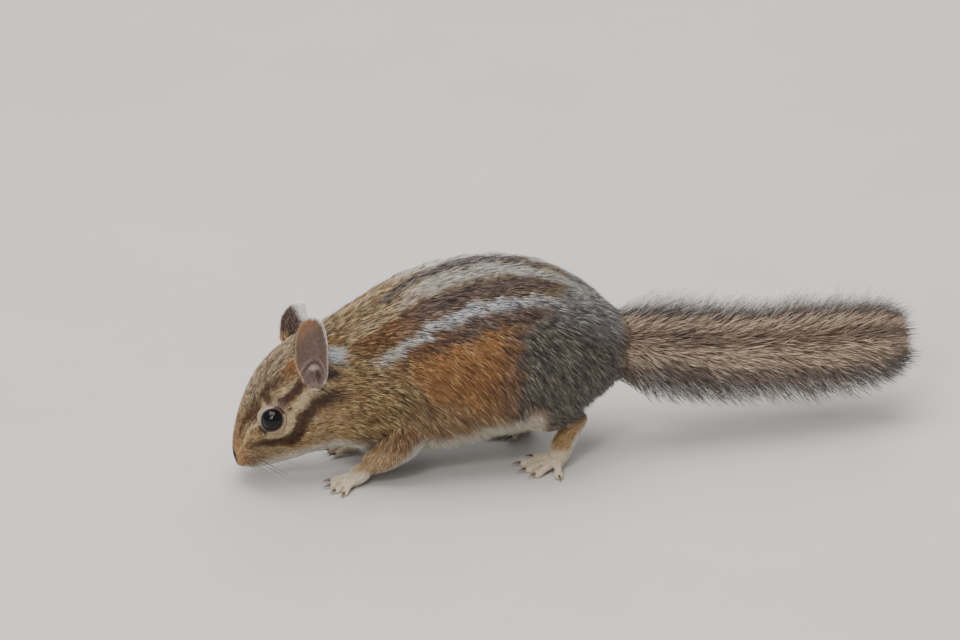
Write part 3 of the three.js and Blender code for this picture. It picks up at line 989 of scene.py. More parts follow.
@dataclass
class Ear:
    """One ear, with the folds of its concha."""

    side: int
    plan: EarPlan = EarPlan()
    around: int = 120
    rings: int = 22

    def directions(self) -> tuple[Array, Array, Array, Array, float]:
        """Gives root, the directions along, across and out of the cup, and the length.

        Returns:
            A point, three directions and a length.
        """
        root = on_side(self.plan.root, self.side)
        tip = on_side(self.plan.tip_left if self.side == LEFT else self.plan.tip_right, self.side)
        length = float(np.linalg.norm(tip - root))
        along = (tip - root) / length
        facing = on_side(self.plan.facing, self.side)
        facing = unit(facing - along * (facing @ along))
        return root, along, np.cross(along, facing), facing, length

    @staticmethod
    def taper(y: Array) -> Array:
        """Gives the share of its breadth that the leaf keeps towards the foot."""
        return 1 - 0.2 * ease(-0.1, -1.0, y)

    def bend(self, x: Array, y: Array) -> Array:
        """Gives how far the leaf bows towards the cup's open side.

        Args:
            x: Places across the leaf.
            y: Places along it.

        Returns:
            Distances in millimetres.
        """
        cup = self.plan.cup * (1.25 - 0.45 * y) * (x * x - 0.5)
        foot = self.plan.foot_curl * (np.maximum(-y - 0.45, 0) / 0.55) ** 2
        return cup + foot + self.plan.tip_curl * np.maximum(y, 0) ** 2

    def sheet(self, across: Array, rise: Array, depth: Array | float) -> Array:
        """Gives points of the ear.

        Args:
            across: Places across the leaf from -1 to 1.
            rise: Places from root to tip, from -1 to 1.
            depth: How far the points lie in front of the wall's middle.

        Returns:
            The points.
        """
        root, along, aside, facing, length = self.directions()
        squared = 1 + 0.2 * np.abs(across * rise)
        y = rise * squared
        x = across * squared * self.taper(y)
        return (root + along * (length / 2 * (1 + y))[:, None] + aside * (self.plan.breadth / 2 * x)[:, None]
                + facing * (self.bend(x, y) + depth)[:, None])

    def seen(self, points: Array) -> tuple[Array, Array, Array, Array]:
        """Looks at points from the ear.

        Args:
            points: The points.

        Returns:
            Their reach from the leaf's middle, where 1 is its outline, their height in front of the leaf, the
            direction away from its middle, and 1 beside the leaf but 0 far in front of it or behind it.
        """
        root, along, aside, facing, length = self.directions()
        off = points - root
        x, y = off @ aside / (self.plan.breadth / 2), off @ along / (length / 2) - 1
        x = x / self.taper(y)
        height = off @ facing - self.bend(np.clip(x, -1.1, 1.1), np.clip(y, -1.1, 1.1))
        away = unit(aside * x[:, None] + along * y[:, None])
        return np.hypot(x, y) / (1 + 0.17 * np.abs(x * y)), height, away, 1 - ease(5, 8, np.abs(height))

    def front(self, across: Array, rise: Array) -> Array:
        """Gives the height of the folds on the ear's inner side.

        Args:
            across: Places across the leaf.
            rise: Places along it.

        Returns:
            Heights in millimetres.
        """
        ahead = across * self.side
        rim = 0.30 * ease(0.84, 0.97, np.hypot(across, rise))
        arch = 0.85 * bell(rise + 0.24 + 0.4 * (ahead - 0.05) ** 2, 0, 0.065) * ease(0.95, 0.7, np.abs(ahead))
        bump = 0.8 * bell(rise, -0.45, 0.09) * bell(ahead, 0.2, 0.34)
        flap = 0.9 * bell(rise, -0.66, 0.13) * bell(ahead, 0.62, 0.2)
        hole = -0.7 * bell(rise, -0.70, 0.12) * bell(ahead, -0.08, 0.22)
        return rim + arch + bump + flap + hole

    def shape(self) -> tuple[Shape, Array, Array, Array]:
        """Builds the ear's closed surface.

        Returns:
            The shape, and each corner's place across, rise, and 1 on the inner side or 0 on the outer.
        """
        reach = np.sin(np.linspace(0.0, 1.0, self.rings) * math.pi / 2)
        radius, angle = np.meshgrid(reach, np.arange(self.around) / self.around * TURN, indexing="ij")
        across, rise = (radius * np.sin(angle)).ravel(), (radius * np.cos(angle)).ravel()
        wall = self.plan.wall * np.sqrt(np.clip(1 - radius.ravel() ** 6, 0, 1)) / 2

        def there_and_back(inner: Array, outer: Array) -> Array:
            """Joins the rings of the inner side, from the middle out, to those of the outer side, back in."""
            inner, outer = (a.reshape(self.rings, self.around, -1) for a in (inner, outer))
            return np.concatenate([inner[1:], outer[::-1][1:-1]])

        front = self.sheet(across, rise, wall + self.front(across, rise))
        grid = there_and_back(front, self.sheet(across, rise, -wall))
        flat = ((across, across), (rise, rise), (np.ones(len(rise)), np.zeros(len(rise))))
        across, rise, inside = (there_and_back(*pair).ravel() for pair in flat)
        shape = covered(grid, flip=self.side == LEFT)
        return shape, np.append(across, [0, 0]), np.append(rise, [0, 0]), np.append(inside, [1, 0])


# Colours of the coat


def shade(red: int, green: int, blue: int) -> Array:
    """Returns a colour, given as on a screen from 0 to 255, as light from 0 to 1."""
    c = np.array([red, green, blue]) / 255
    return np.where(c <= 0.04045, c / 12.92, ((c + 0.055) / 1.055) ** 2.4)


@dataclass(frozen=True)
class Hair:
    """The hairs of one part of the coat: their roots, and the main, pale and dark ones with their shares."""

    root: tuple
    main: tuple
    pale: tuple
    dark: tuple
    pale_share: float
    dark_share: float

    def numbers(self) -> Array:
        """Returns the hair as one row of numbers, for blending."""
        colours = [shade(*c) for c in (self.root, self.main, self.pale, self.dark)]
        return np.concatenate([*colours, [self.pale_share, self.dark_share]])


class Hairs(Enum):
    """The kinds of hair on the animal."""

    CROWN = Hair((78, 66, 54), (146, 122, 92), (208, 189, 155), (76, 60, 50), 0.30, 0.26)
    NOSE_TOP = Hair((92, 72, 48), (172, 136, 94), (208, 178, 134), (100, 74, 50), 0.24, 0.20)
    NOSE_TIP = Hair((108, 80, 50), (196, 150, 98), (226, 194, 150), (120, 82, 50), 0.28, 0.28)
    CREAM = Hair((150, 126, 92), (222, 196, 152), (244, 228, 196), (180, 146, 102), 0.34, 0.14)
    EYE_LINE = Hair((50, 30, 24), (98, 60, 48), (146, 104, 84), (54, 34, 28), 0.12, 0.28)
    CHEEK_LINE = Hair((40, 27, 18), (86, 57, 36), (128, 92, 60), (46, 30, 20), 0.12, 0.26)
    BROW_LINE = Hair((48, 32, 20), (96, 64, 36), (160, 120, 74), (56, 38, 26), 0.16, 0.28)
    CHEEK = Hair((96, 72, 46), (190, 154, 106), (226, 200, 156), (108, 80, 52), 0.28, 0.20)
    THROAT = Hair((150, 140, 124), (230, 222, 204), (246, 242, 230), (186, 172, 146), 0.40, 0.08)
    SHOULDER = Hair((78, 58, 38), (156, 122, 76), (214, 190, 142), (80, 60, 42), 0.28, 0.24)
    FLANK = Hair((96, 60, 32), (178, 124, 70), (214, 172, 114), (112, 72, 42), 0.22, 0.16)
    LOW_FLANK = Hair((82, 60, 40), (154, 116, 76), (206, 176, 132), (94, 68, 46), 0.26, 0.18)
    HAUNCH = Hair((54, 50, 46), (106, 98, 90), (170, 158, 138), (50, 46, 44), 0.24, 0.34)
    RUMP = Hair((88, 84, 82), (160, 157, 153), (208, 204, 198), (78, 74, 74), 0.30, 0.24)
    BELLY = Hair((150, 138, 120), (224, 214, 192), (244, 238, 224), (180, 162, 130), 0.40, 0.08)
    DARK_BAND = Hair((60, 48, 42), (128, 104, 90), (170, 144, 124), (60, 50, 48), 0.20, 0.30)
    RUST_BAND = Hair((68, 46, 30), (136, 94, 58), (190, 148, 98), (66, 44, 32), 0.16, 0.26)
    GOLD_BAND = Hair((84, 66, 44), (168, 138, 98), (222, 204, 168), (88, 68, 48), 0.36, 0.20)
    INNER_BAND = Hair((108, 103, 95), (210, 204, 192), (242, 238, 228), (116, 106, 96), 0.40, 0.18)
    PALE_BAND = Hair((110, 104, 102), (200, 200, 198), (236, 238, 240), (104, 96, 92), 0.44, 0.22)
    MIDDLE_BAND = Hair((56, 50, 50), (112, 104, 102), (164, 154, 150), (52, 46, 48), 0.22, 0.32)
    FORELEG = Hair((112, 84, 56), (204, 170, 126), (232, 208, 170), (140, 108, 74), 0.26, 0.12)
    FEATHER = Hair((160, 156, 148), (226, 222, 212), (244, 242, 236), (184, 176, 164), 0.40, 0.06)
    ANKLE = Hair((112, 86, 54), (194, 156, 106), (226, 200, 156), (134, 102, 66), 0.26, 0.14)
    TOE = Hair((186, 168, 140), (244, 228, 200), (250, 242, 224), (206, 184, 150), 0.30, 0.04)
    TAIL_ROOT = Hair((80, 62, 44), (164, 134, 98), (206, 180, 140), (84, 66, 50), 0.22, 0.24)
    EAR_BACK = Hair((48, 36, 32), (90, 68, 58), (142, 116, 100), (48, 36, 34), 0.16, 0.24)
    EAR_FRONT = Hair((110, 80, 50), (186, 142, 92), (222, 186, 136), (128, 92, 60), 0.28, 0.18)
    EAR_INNER = Hair((92, 74, 66), (138, 114, 100), (168, 144, 126), (104, 84, 74), 0.14, 0.18)
    EAR_TUFT = Hair((84, 58, 32), (168, 118, 64), (214, 170, 108), (96, 64, 36), 0.24, 0.18)
    EAR_EDGE = Hair((180, 174, 166), (236, 232, 226), (250, 248, 246), (206, 196, 184), 0.50, 0.04)
    BEHIND_EAR = Hair((144, 150, 154), (210, 218, 224), (236, 242, 246), (144, 144, 142), 0.45, 0.14)
    DARK_SPOT = Hair((38, 34, 34), (70, 60, 54), (110, 98, 88), (36, 32, 32), 0.12, 0.30)


def blended(under: Hairs, layers: list[tuple[Hairs, Array]]) -> Array:
    """Blends kinds of hair over one that grows everywhere.

    Args:
        under: The kind that grows everywhere.
        layers: Kinds that are laid one over the other, each with its share at every place.

    Returns:
        One row of hair numbers for each place.
    """
    mixed = np.tile(under.value.numbers(), (len(layers[0][1]), 1))
    for kind, share in layers:
        mixed = over(mixed, kind.value.numbers(), share)
    return mixed


def picked(hair: Array, pick: Array) -> Array:
    """Picks the pale, the dark or the main hair from each row of hair numbers by a number from 0 to 1."""
    pale, dark = (pick < hair[:, 12])[:, None], (pick > 1 - hair[:, 13])[:, None]
    return np.where(pale, hair[:, 6:9], np.where(dark, hair[:, 9:12], hair[:, 3:6]))


@dataclass(frozen=True)
class Band:
    """A stripe along the body: where it runs, how broad and how strong it is, and how soft its edges are.

    Each stop holds a place in the list of stations, the turn from the back of the stripe's middle and its half
    breadth, both in degrees, and its strength.
    """

    hair: Hairs
    stops: tuple
    soft: float = 3.0

    def weight(self, place: Array, turn: Array) -> Array:
        """Gives the stripe's strength at places along the trunk and turns from the back, in degrees.

        Args:
            place: Places in the list of stations.
            turn: Turns from the back.

        Returns:
            Strengths from 0 to 1.
        """
        stops = np.array(self.stops)
        middle, half, strong = (np.interp(place, stops[:, 0], stops[:, k]) for k in (1, 2, 3))
        strong = strong * (place > stops[0, 0]) * (place < stops[-1, 0])
        soft = 0.8 * self.soft
        return strong * (1 - ease(-soft, soft, np.abs(turn - middle) - half))


# The broad grounds of the coat, each from one turn and place to another
GROUNDS = (
    Band(Hairs.CHEEK, ((-1, 104, 52, 1), (7.6, 106, 44, 1), (8.5, 112, 36, 0)), 20),
    Band(Hairs.CROWN, ((-1, 0, 60, 1), (5.0, 0, 42, 1), (7.6, 0, 44, 1), (8.9, 0, 40, 0)), 12),
    Band(Hairs.NOSE_TOP, ((-1, 0, 60, 1), (2.6, 0, 50, 1), (4.8, 0, 30, 0)), 18),
    Band(Hairs.NOSE_TIP, ((-1, 84, 60, 1), (1.2, 86, 56, 1), (2.4, 90, 36, 0.9), (3.4, 94, 22, 0)), 16),
    Band(Hairs.EAR_TUFT, ((6.0, 41, 6, 0), (6.6, 37, 8, 1), (7.4, 34, 9, 1), (8.0, 34, 8, 0.8), (8.4, 34, 7, 0)), 8),
    Band(Hairs.LOW_FLANK, ((9.3, 112, 16, 0), (10.2, 118, 18, 1), (11.6, 124, 12, 0.8), (12.0, 124, 8, 0)), 12),
    Band(Hairs.FLANK, ((9.3, 66, 9, 0), (9.7, 69, 14, 1), (10.1, 78, 24, 1), (10.5, 82, 26, 1), (11.2, 86, 28, 1),
                       (12.4, 86, 30, 1), (12.6, 86, 30, 0)), 10),
    Band(Hairs.RUST_BAND, ((10.7, 100, 8, 0), (11.2, 104, 11, 0.6), (11.8, 106, 13, 0.8), (12.3, 106, 8, 0)), 8),
    Band(Hairs.THROAT, ((1.4, 180, 30, 0), (1.9, 180, 40, 1), (3.4, 180, 52, 1), (6.0, 180, 48, 1), (8.2, 180, 42, 1),
                        (9.6, 180, 44, 0.6), (10.2, 180, 50, 0)), 16),
)
BELLY_GROUND = Band(Hairs.BELLY, ((8.8, 180, 42, 0), (9.6, 180, 46, 0.9), (10.4, 180, 49, 1), (12.0, 180, 55, 1),
                                  (12.5, 180, 54, 1), (12.9, 180, 34, 1), (14.6, 180, 26, 1)), 8)
# The stripes, whose turns count from the middle line of the back
STRIPES = (
    Band(Hairs.GOLD_BAND, ((8.2, 15, 7, 0), (8.8, 15, 8, 0.9), (10.2, 15, 8, 0.9), (10.8, 15, 8, 0)), 6),
    Band(Hairs.INNER_BAND, ((9.4, 15, 8, 0), (10.4, 15, 8, 1), (12.2, 15, 7, 1), (12.8, 15, 7, 0.8),
                            (13.6, 15, 7, 0)), 6),
    Band(Hairs.MIDDLE_BAND, ((8.7, 0, 4, 0), (9.4, 0, 4, 0.9), (10, 0, 4, 1), (10.7, 0, 6, 1), (11.6, 0, 6, 1),
                             (13.4, 0, 6, 0)), 4),
    Band(Hairs.RUST_BAND, ((8.3, 31, 7, 0), (8.8, 32, 8, 1), (10.0, 32, 8, 1), (10.6, 32, 8, 0)), 5),
    Band(Hairs.DARK_BAND, ((9.4, 32, 8, 0), (10.1, 32, 8, 1), (11.4, 32, 8, 1), (12.2, 27, 6.5, 1),
                           (13.0, 25, 6, 0)), 5),
    Band(Hairs.PALE_BAND, ((8.7, 47, 4, 0), (9.2, 47, 4.6, 0.7), (9.9, 47, 5, 1), (11.4, 46, 5.2, 1),
                           (12.2, 41, 4.4, 1), (12.8, 38, 4, 0)), 4),
    Band(Hairs.RUST_BAND, ((9.1, 57, 4, 0), (9.6, 57, 5, 0.8), (10.3, 56.5, 5.5, 1), (11, 56.5, 5.5, 0)), 5),
    Band(Hairs.DARK_BAND, ((10.0, 56.5, 5, 0), (10.8, 56.5, 5.5, 1), (11.4, 55, 5.5, 1), (11.9, 51, 5, 1),
                           (12.3, 48, 4, 0.8), (12.6, 46, 4, 0)), 5),
    Band(Hairs.BEHIND_EAR, ((7.65, 38, 6, 0), (7.9, 38, 7, 1), (8.1, 37, 7, 0.9), (8.35, 36, 6, 0)), 8),
    Band(Hairs.DARK_SPOT, ((7.55, 57, 4, 0), (7.72, 57, 5, 1), (7.88, 57, 5, 1), (8.0, 57, 4, 0)), 4),
    Band(Hairs.BROW_LINE, ((2.0, 40, 5, 0), (3.0, 36, 6, 0.8), (4.1, 33, 6, 1), (4.9, 37, 6, 1), (6.0, 37, 5, 0.9),
                           (7.0, 38, 5, 0)), 6),
    Band(Hairs.CREAM, ((1.5, 72, 4, 0), (2.2, 68, 4, 0.8), (3.2, 59, 4.5, 0.9), (4.1, 51, 3.5, 0.9),
                       (4.7, 47, 3.5, 0.9), (5.5, 51, 4.5, 1), (6.2, 53, 4.5, 0.8), (6.8, 52, 4, 0)), 4),
    Band(Hairs.EYE_LINE, ((5.1, 67, 5, 0), (5.5, 65, 6, 1), (6.2, 61, 5.5, 1), (6.8, 59, 5, 1), (7.1, 58, 4, 0)), 4),
    Band(Hairs.CREAM, ((3.6, 76, 3, 0), (4.2, 82, 4, 0.8), (4.9, 89, 5, 1), (5.7, 84, 6.5, 1), (6.35, 76, 6.5, 1),
                       (6.8, 72, 6, 1), (7.3, 69, 6, 1), (7.6, 68, 5, 0)), 4),
    Band(Hairs.CHEEK_LINE, ((2.6, 80, 3, 0), (3.4, 85, 4, 0.9), (4.0, 91.5, 5.5, 1), (4.8, 101, 6.5, 1),
                            (5.6, 98, 7, 1), (6.3, 91, 7, 1), (6.9, 83.5, 7.5, 1), (7.4, 78.5, 7.5, 0.95),
                            (7.9, 76, 6, 0.65), (8.3, 75, 5, 0)), 6),
)


class Markings:
    """The colours of the coat over the whole skin."""

    # Turn of the back's middle line by place, in degrees, where the body bends
    SPINE = ((7, 0), (8, -8), (8.5, -17), (9, -18), (9.6, -13), (10, -8.5), (10.7, -4), (11.3, 0), (15, 0))
    # Front edge of the grey haunch: turn and place
    HAUNCH_EDGE = ((0, 12.9), (30, 12.6), (50, 12.25), (60, 11.8), (66, 11.7), (110, 11.68), (180, 11.9))

    def trunk(self, place: Array, turn: Array, points: Array) -> list[tuple[Hairs, Array]]:
        """Gives the kinds of hair on head, neck and trunk.

        Args:
            place: Places in the list of stations.
            turn: Turns from the back in radians.
            points: The places themselves, in the plan.

        Returns:
            Kinds of hair to be laid one over the other, each with its share at every place.
        """
        wander = Drift(21, 3).at(points)
        place = place + 0.035 * wander
        waver = (0.9 + 0.8 * ease(7, 9, place)) * (Drift(22, 2.5).at(points) + 0.5 * Drift(23, 0.9).at(points))
        plain = np.abs(np.degrees(turn)) + waver
        along_spine = np.abs(np.degrees(turn) - np.interp(place, *zip(*self.SPINE))) + waver
        edge = np.interp(plain, *zip(*self.HAUNCH_EDGE))
        haunch = ease(edge - 0.16, edge + 0.24, place + 0.05 * wander)
        return [
            *((band.hair, band.weight(place, plain)) for band in GROUNDS),
            (Hairs.DARK_BAND, 0.5 * ease(edge - 0.5, edge - 0.05, place) * ease(45, 60, plain)),
            (Hairs.HAUNCH, haunch),
            (Hairs.RUMP, haunch * (1 - ease(30, 68, plain))),
            (BELLY_GROUND.hair, BELLY_GROUND.weight(place, plain)),
            (Hairs.TAIL_ROOT, ease(14.2, 14.9, place)),
            *((band.hair, band.weight(place, along_spine)) for band in STRIPES),
            *(layer for side in SIDES.values() for layer in self.eye_ring(points, side, 0.3 * wander)),
        ]

    @staticmethod
    def eye_ring(points: Array, side: int, waver: Array | float = 0.0) -> list[tuple[Hairs, Array]]:
        """Gives the kinds of hair round an eye.

        Args:
            points: Places near the eye, in the plan.
            side: Which eye.
            waver: How far the edges of the markings wander, in millimetres.

        Returns:
            Kinds of hair to be laid one over the other, each with its share at every place.
        """
        reach, _, _, turn = EYE.seen(points, side)
        out = (points - EYE.directions(side)[0]) @ EYE.directions(side)[3]
        wide = np.sqrt(np.maximum(reach**2 - out**2, 0)) + waver
        degrees = np.degrees(turn)
        here = ease(-3.5, -1.5, out)
        edge = np.interp(degrees, (-180, -150, -125, -90, -20, 0), (6.0, 6.8, 7.0, 6.3, 6.5, 6.5))
        below = ease(2, -12, degrees) * ease(-172, -160, degrees) * ease(edge + 0.5, edge - 0.4, wide)
        stripe = ease(2.5, 1.4, np.abs(wide - edge - 1.8)) * ease(-10, -26, degrees) * ease(-132, -112, degrees)
        above = ease(24, 38, degrees) * ease(160, 148, degrees) * ease(4.9, 4.2, wide)
        brow = ease(4.4, 5.1, wide) * ease(8.5, 6.5, wide) * ease(32, 52, degrees) * ease(150, 120, degrees)
        corner = ease(28, 14, np.abs(degrees - 4)) * ease(5.9, 4.9, wide)
        behind = ease(148, 160, np.abs(degrees)) * ease(8, 7, wide)
        shares = (below, stripe, above, brow * 0.8, corner, behind)
        kinds = (Hairs.CREAM, Hairs.CHEEK_LINE, Hairs.CREAM, Hairs.BROW_LINE, Hairs.CHEEK_LINE, Hairs.EYE_LINE)
        return [(kind, share * here) for kind, share in zip(kinds, shares)]

    def at(self, form: Array, place: Array, turn: Array, points: Array, normals: Array) -> Array:
        """Blends the kinds of hair on every form.

        Args:
            form: Number of the form that carries each place.
            place: Place along the form.
            turn: Turn round it in radians.
            points: The places themselves, in the plan.
            normals: Directions out of the skin.

        Returns:
            One row of hair numbers for each place.
        """
        fore, hind, paws, feet = (np.isin(form, (k, k + 1)).astype(float) for k in (*LEGS[::2], *FEET[::2]))
        ahead, height, behind = points[:, 0], points[:, 2], normals[:, 0]
        return blended(Hairs.SHOULDER, [
            *self.trunk(np.where(form == Form.TRUNK, place, 9.5), turn, points),
            (Hairs.LOW_FLANK, fore),
            (Hairs.FORELEG, fore * ease(15, 9, height)),
            (Hairs.FEATHER, fore * ease(-0.1, 0.45, behind) * ease(18, 12, height)),
            (Hairs.LOW_FLANK, hind),
            (Hairs.BELLY, hind * 0.8 * ease(25, 20, height) * ease(18, 13, ahead)),
            (Hairs.HAUNCH, hind * ease(13, 18, ahead)),
            (Hairs.HAUNCH, feet),
            (Hairs.ANKLE, np.maximum(feet, hind * ease(21, 24, ahead)) * ease(17.5, 14.5, height)),
            (Hairs.FEATHER, feet * ease(0.15, 0.6, behind) * ease(15, 11, height)),
            (Hairs.TOE, feet * ease(8, 5, height)),
            (Hairs.FORELEG, paws),
            (Hairs.TOE, paws * ease(6.5, 3.5, height)),
            (Hairs.TAIL_ROOT, (form == Form.TAIL).astype(float)),
        ])


# Finishes


class Tree:
    """A material's nodes, with short ways to add and join them."""

    def __init__(self, name: str, **surface: object) -> None:
        """Starts a material with its output and its surface, whose inputs are given.

        Args:
            name: Name of the material.
            surface: Inputs of the surface.
        """
        self.material = bpy.data.materials.new(name)
        self.material.use_nodes = True
        self.nodes = self.material.node_tree.nodes
        self.links = self.material.node_tree.links
        self.nodes.clear()
        self.surface = self.nodes.new("ShaderNodeBsdfPrincipled")
        output = self.nodes.new("ShaderNodeOutputMaterial")
        self.links.new(self.surface.outputs[0], output.inputs["Surface"])
        self.place = self.nodes.new("ShaderNodeTexCoord").outputs["Object"]
        self.fill(self.surface, **surface)

    def fill(self, node: bpy.types.Node, **inputs: object) -> None:
        """Sets or joins a node's inputs, with the spaces of their names written as underscores.

        Args:
            node: The node.
            inputs: A number, a colour or a socket for each input.
        """
        for name, value in inputs.items():
            socket = node.inputs[name.replace("_", " ")]
            if isinstance(value, Socket):
                self.links.new(value, socket)
            else:
                socket.default_value = value

    def add(self, kind: str, output: str, **inputs: object) -> Socket:
        """Adds a node, fills its inputs and gives one of its outputs.

        Args:
            kind: Kind of node.
            output: Name of the output.
            inputs: Its inputs.

        Returns:
            The output.
        """
        made = self.nodes.new("ShaderNode" + kind)
        self.fill(made, **inputs)
        return made.outputs[output]

    def stored(self) -> Socket:
        """Gives the colour stored on the mesh.

        Returns:
            The colour's socket.
        """
        layer = self.nodes.new("ShaderNodeAttribute")
        layer.attribute_name = COLOURS
        return layer.outputs["Color"]

    def noise(self, scale: float, detail: float = 3.0, rough: float = 0.6) -> Socket:
        """Gives a noise that reads the object's own place, in spots of 1/scale metres."""
        return self.add("TexNoise", "Fac", Vector=self.place, Scale=scale, Detail=detail, Roughness=rough)

    def spread(self, value: Socket, low: float, high: float) -> Socket:
        """Stretches a noise from its usual middle range to low and high."""
        return self.add("MapRange", "Result", Value=value, From_Min=0.3, From_Max=0.7, To_Min=low, To_Max=high)

    def tint(self, colour: Socket, spots: float, change: float) -> None:
        """Gives the surface a colour, a little lighter or darker from spot to spot.

        Args:
            colour: The colour.
            spots: Number of spots in a metre.
            change: Largest change, as a share.
        """
        made = self.nodes.new("ShaderNodeVectorMath")
        made.operation = "SCALE"
        self.fill(made, Vector=colour, Scale=self.spread(self.noise(spots), 1 - change, 1 + change))
        self.fill(self.surface, Base_Color=made.outputs["Vector"])

    def bump(self, height: Socket, depth: float, strength: float) -> None:
        """Raises the surface by a height, in metres at full height."""
        self.fill(self.surface, Normal=self.add("Bump", "Normal", Height=height, Distance=depth, Strength=strength))


@dataclass(frozen=True)
class FurFinish:
    """Hairs with the colours stored on the mesh, a soft gloss, and small changes from lock to lock."""

    name: str = "fur"
    roughness: float = 0.62
    sheen: float = 0.12
    spots: float = 900
    change: float = 0.16

    def material(self) -> bpy.types.Material:
        """Makes the material.

        Returns:
            The material.
        """
        tree = Tree(self.name, Roughness=self.roughness, Specular_IOR_Level=0.28, Sheen_Weight=self.sheen,
                    Sheen_Roughness=0.5)
        tree.tint(tree.stored(), self.spots, self.change)
        return tree.material


@dataclass(frozen=True)
class SkinFinish:
    """Skin with its down: fine pores and wrinkles, and the markings stored on the mesh."""

    name: str = "skin_and_down"
    roughness: float = 0.6
    spots: float = 1500
    change: float = 0.22

    def material(self) -> bpy.types.Material:
        """Makes the material.

        Returns:
            The material.
        """
        tree = Tree(self.name, Specular_IOR_Level=0.3, Subsurface_Weight=0.08, Subsurface_Scale=0.0008,
                    Subsurface_Radius=(1.0, 0.35, 0.2))
        tree.tint(tree.stored(), self.spots, self.change)
        tree.fill(tree.surface, Roughness=tree.spread(tree.noise(700), self.roughness - 0.12, self.roughness + 0.12))
        tree.bump(tree.noise(2600, 4, 0.7), 0.00022, 0.7)
        return tree.material


@dataclass(frozen=True)
class EyeFinish:
    """The wet eye: a deep brown iris that is nearly black under a clear polish."""

    name: str = "wet_eye"
    spots: float = 2500
    change: float = 0.3

    def material(self) -> bpy.types.Material:
        """Makes the material.

        Returns:
            The material.
        """
        tree = Tree(self.name, Roughness=0.06, IOR=1.3, Coat_Weight=0.2, Coat_Roughness=0.015, Coat_IOR=1.33)
        tree.tint(tree.stored(), self.spots, self.change)
        return tree.material


@dataclass(frozen=True)
class HornFinish:
    """Claws or whiskers: horn that pales towards the tip or root as the mesh's colours say."""

    name: str
    roughness: float
    spots: float = 1800
    change: float = 0.2

    def material(self) -> bpy.types.Material:
        """Makes the material.

        Returns:
            The material.
        """
        tree = Tree(self.name, Roughness=self.roughness, Specular_IOR_Level=0.5, Coat_Weight=0.15, Coat_Roughness=0.2)
        tree.tint(tree.stored(), self.spots, self.change)
        tree.bump(tree.noise(3000), 0.00008, 0.4)
        return tree.material


@dataclass(frozen=True)
class FloorFinish:
    """Pale matt floor with a faint mottle."""

    name: str = "pale_floor"
    colour: tuple = (0.56, 0.54, 0.51, 1)
    spots: float = 14
    change: float = 0.03

    def material(self) -> bpy.types.Material:
        """Makes the material.

        Returns:
            The material.
        """
        tree = Tree(self.name, Roughness=0.85, Specular_IOR_Level=0.15)
        base = tree.nodes.new("ShaderNodeRGB")
        base.outputs[0].default_value = self.colour
        tree.tint(base.outputs[0], self.spots, self.change)
        return tree.material


# Skin


def beside(values: Array, edges: Array) -> Array:
    """Returns for each corner of a mesh the sum of the rows of numbers at the corners next to it."""
    ends = ((edges[:, 0], edges[:, 1]), (edges[:, 1], edges[:, 0]))
    return np.stack([sum(np.bincount(a, values[b, k], len(values)) for a, b in ends) for k in range(3)], 1)


@dataclass
class Cover:
    """What the coat needs to know at each corner of the skin."""

    points: Array
    normals: Array
    triangles: Array
    form: Array
    place: Array
    turn: Array
    lie: Array
    bare: Array
    short: Array


